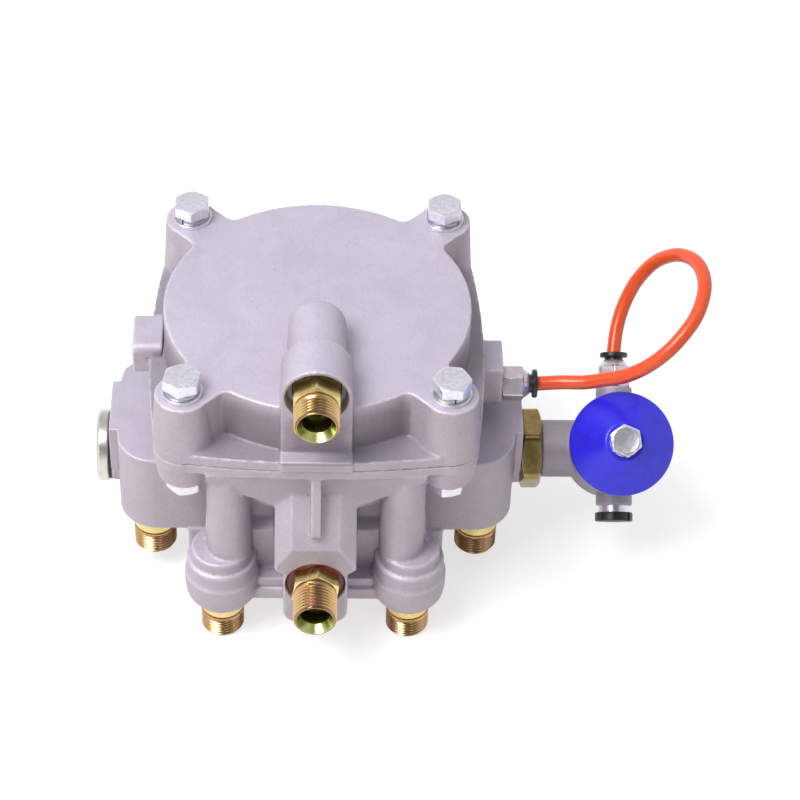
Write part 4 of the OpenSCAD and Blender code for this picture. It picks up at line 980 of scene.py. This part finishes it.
CAP_R, CAP_HIGH, NOTCHES, NOTCH_DEEP, STEM_R, STEM_LONG, CAP_AT = 9.85, 4.79, 8, 0.9, 3.95, 12.0, -38.3
cap_side = CAP_R - NOTCH_DEEP * np.clip(3 * np.cos(NOTCHES * ANGLE) - 1.9, 0, 1)
cap = polar([(0.0, CAP_HIGH), (3.0, CAP_HIGH), (3.2, 4.6), (5.2, 4.6), (5.4, CAP_HIGH),
             (cap_side - 0.5, CAP_HIGH), (cap_side, 4.3), (cap_side, 0.5), (cap_side - 0.5, 0.0), (0.0, 0.0)])
stem = polar([(0.0, 0.0), (STEM_R, 0.0), (STEM_R, STEM_LONG), (0.0, STEM_LONG)])
group("exhaust_cap_skin", "release_exhaust_cap", "black_plastic",
      [on_valve(grid, CAP_AT, CROSS_AXIS) for grid in (cap, stem)])
print("push-in fittings, collets and cap")

# %% [markdown]
# Two coil springs sit inside, each between the body and a piece that slides. Each is a copy of its node, with
# its own mesh and the spring finish, and it rides on the body.


# %% Springs
def spring(node, travel_mm):
    """A copy of the spring's node, with its own mesh and the spring finish; travel_mm only goes into the
    print.
    """
    piece = finish_piece(merged_copy(node, node + "_skin"), "spring_steel")
    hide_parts(node)
    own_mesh(piece)
    print(piece.name, "shortens by", travel_mm, "mm")


spring("emergency_spring", 6.0)
spring("valve_spring", 3.1)

# %% [markdown]
# The studio is plain: a large soft lamp high on the left, and two weak ones low on the left and in front.
# They stay at a level where a colour renders about as it is written, and the white of the picture doesn't
# come from them.


# %% Lamps
def area_light(name, at, size, power, aim):
    """A square lamp of the given size in metres that faces the point aim."""
    lamp = bpy.data.lights.new(name, "AREA")
    lamp.shape, lamp.size, lamp.energy = "SQUARE", size, power
    holder = bpy.data.objects.new(name, lamp)
    bpy.context.scene.collection.objects.link(holder)
    holder.location = at
    holder.rotation_euler = (Vector(aim) - Vector(at)).to_track_quat("-Z", "Y").to_euler()


area_light("key", (-0.75, -0.55, 1.6), 0.9, 28.0, (0, 0, 0.08))
area_light("side", (-1.3, -1.0, 0.4), 0.7, 1.0, (0, 0, 0.03))
area_light("front", (-0.7, -1.6, 0.25), 0.7, 0.8, (0, 0, 0.03))
bpy.context.scene.view_settings.view_transform = "Standard"
print("three lamps")

# %% [markdown]
# The floor carries the valve's shadow. It does two jobs that need different tones: it lights the walls from
# below as a pale grey sheet would, and it looks white to the camera and in polished metal. A Light Path node
# tells the two kinds of ray apart, so the white costs no light on the valve.


# %% Floor
class Backdrop(Finish):
    """The same shader maths for a tree without a Principled shader, such as the floor's and the sky's."""

    def __init__(self, tree):
        self.tree = tree
        tree.nodes.clear()

    def ray(self, kind):
        """1 for rays of a kind, such as those from the camera or from a glossy surface, and 0 for others."""
        return self.node("ShaderNodeLightPath", {}, [], f"Is {kind} Ray")

    def look(self):
        """1 where the backdrop is seen, directly or mirrored, and 0 where it only lights the valve."""
        return (self.ray("Camera") + self.ray("Glossy")).clip()

    def show(self, shader, kind):
        """Ends the tree in its output node."""
        self.node(kind, {}, [shader], None)


FLOOR_Z, REACH = cad_box[0][2], 6.0
SHEET_GREY, GLOW, SHADED_GREY = (0.45, 0.44, 0.44), 0.62, (0.5, 0.5, 0.5)
floor_mesh = bpy.data.meshes.new("floor")
corners = [(REACH * x, REACH * y, FLOOR_Z) for x, y in ((-1, -1), (1, -1), (1, 1), (-1, 1))]
floor_mesh.from_pydata(corners, [], [(0, 1, 2, 3)])
floor = new_piece("floor", floor_mesh)
paper = bpy.data.materials.new("paper")
paper.use_nodes = True
sheet = Backdrop(paper.node_tree)
plain = sheet.node("ShaderNodeBsdfDiffuse", {}, {"Color": SHEET_GREY})
glow = sheet.node("ShaderNodeEmission", {}, {"Color": (1, 1, 1), "Strength": GLOW})
shaded = sheet.node("ShaderNodeBsdfDiffuse", {}, {"Color": SHADED_GREY})
bright = sheet.node("ShaderNodeAddShader", {}, [glow, shaded])
sheet.show(sheet.node("ShaderNodeMixShader", {}, [sheet.look(), plain, bright]), "ShaderNodeOutputMaterial")
floor_mesh.materials.append(paper)
print("floor at", round(FLOOR_Z, 4))

# %% [markdown]
# The sky lights less from the right and near the horizon, which shades the walls. Polished metal mirrors a
# sky of its own: white, a little darker overhead, and with a dark patch where the camera itself would stand,
# so that a flat that faces the camera isn't blank. To the camera the sky is plain white.

# %% Sky
TOWARDS_CAMERA = (0.0, -0.78, 0.62)
HORIZON, RISE, RIGHT_DIM, OVERHEAD_DIM, CAMERA_DIM = 0.20, 0.60, 0.35, 0.3, 0.6
world = bpy.data.worlds.new("sky")
bpy.context.scene.world = world
world.use_nodes = True
sky = Backdrop(world.node_tree)
towards = sky.node("ShaderNodeTexCoord", {}, [], "Generated")
sideways = sky.node("ShaderNodeSeparateXYZ", {}, [towards], 0)
upwards = sky.node("ShaderNodeSeparateXYZ", {}, [towards], 2)
dot = {"operation": "DOT_PRODUCT"}
at_camera = sky.node("ShaderNodeVectorMath", dot, [towards, TOWARDS_CAMERA], "Value")
soft = (upwards.step(0.0, 0.75) * RISE + HORIZON) * (1.0 - sideways * RIGHT_DIM)
mirrored = 1.0 - upwards.step(0.2, 0.75) * OVERHEAD_DIM - at_camera.step(0.7, 0.9) * CAMERA_DIM
level = soft + (mirrored - soft) * sky.ray("Glossy")
level = level + (1.0 - level) * sky.ray("Camera")
sky.show(sky.node("ShaderNodeBackground", {}, {"Color": (0.97, 0.96, 1.0), "Strength": level}),
         "ShaderNodeOutputWorld")
print("sky and floor look white to the camera")
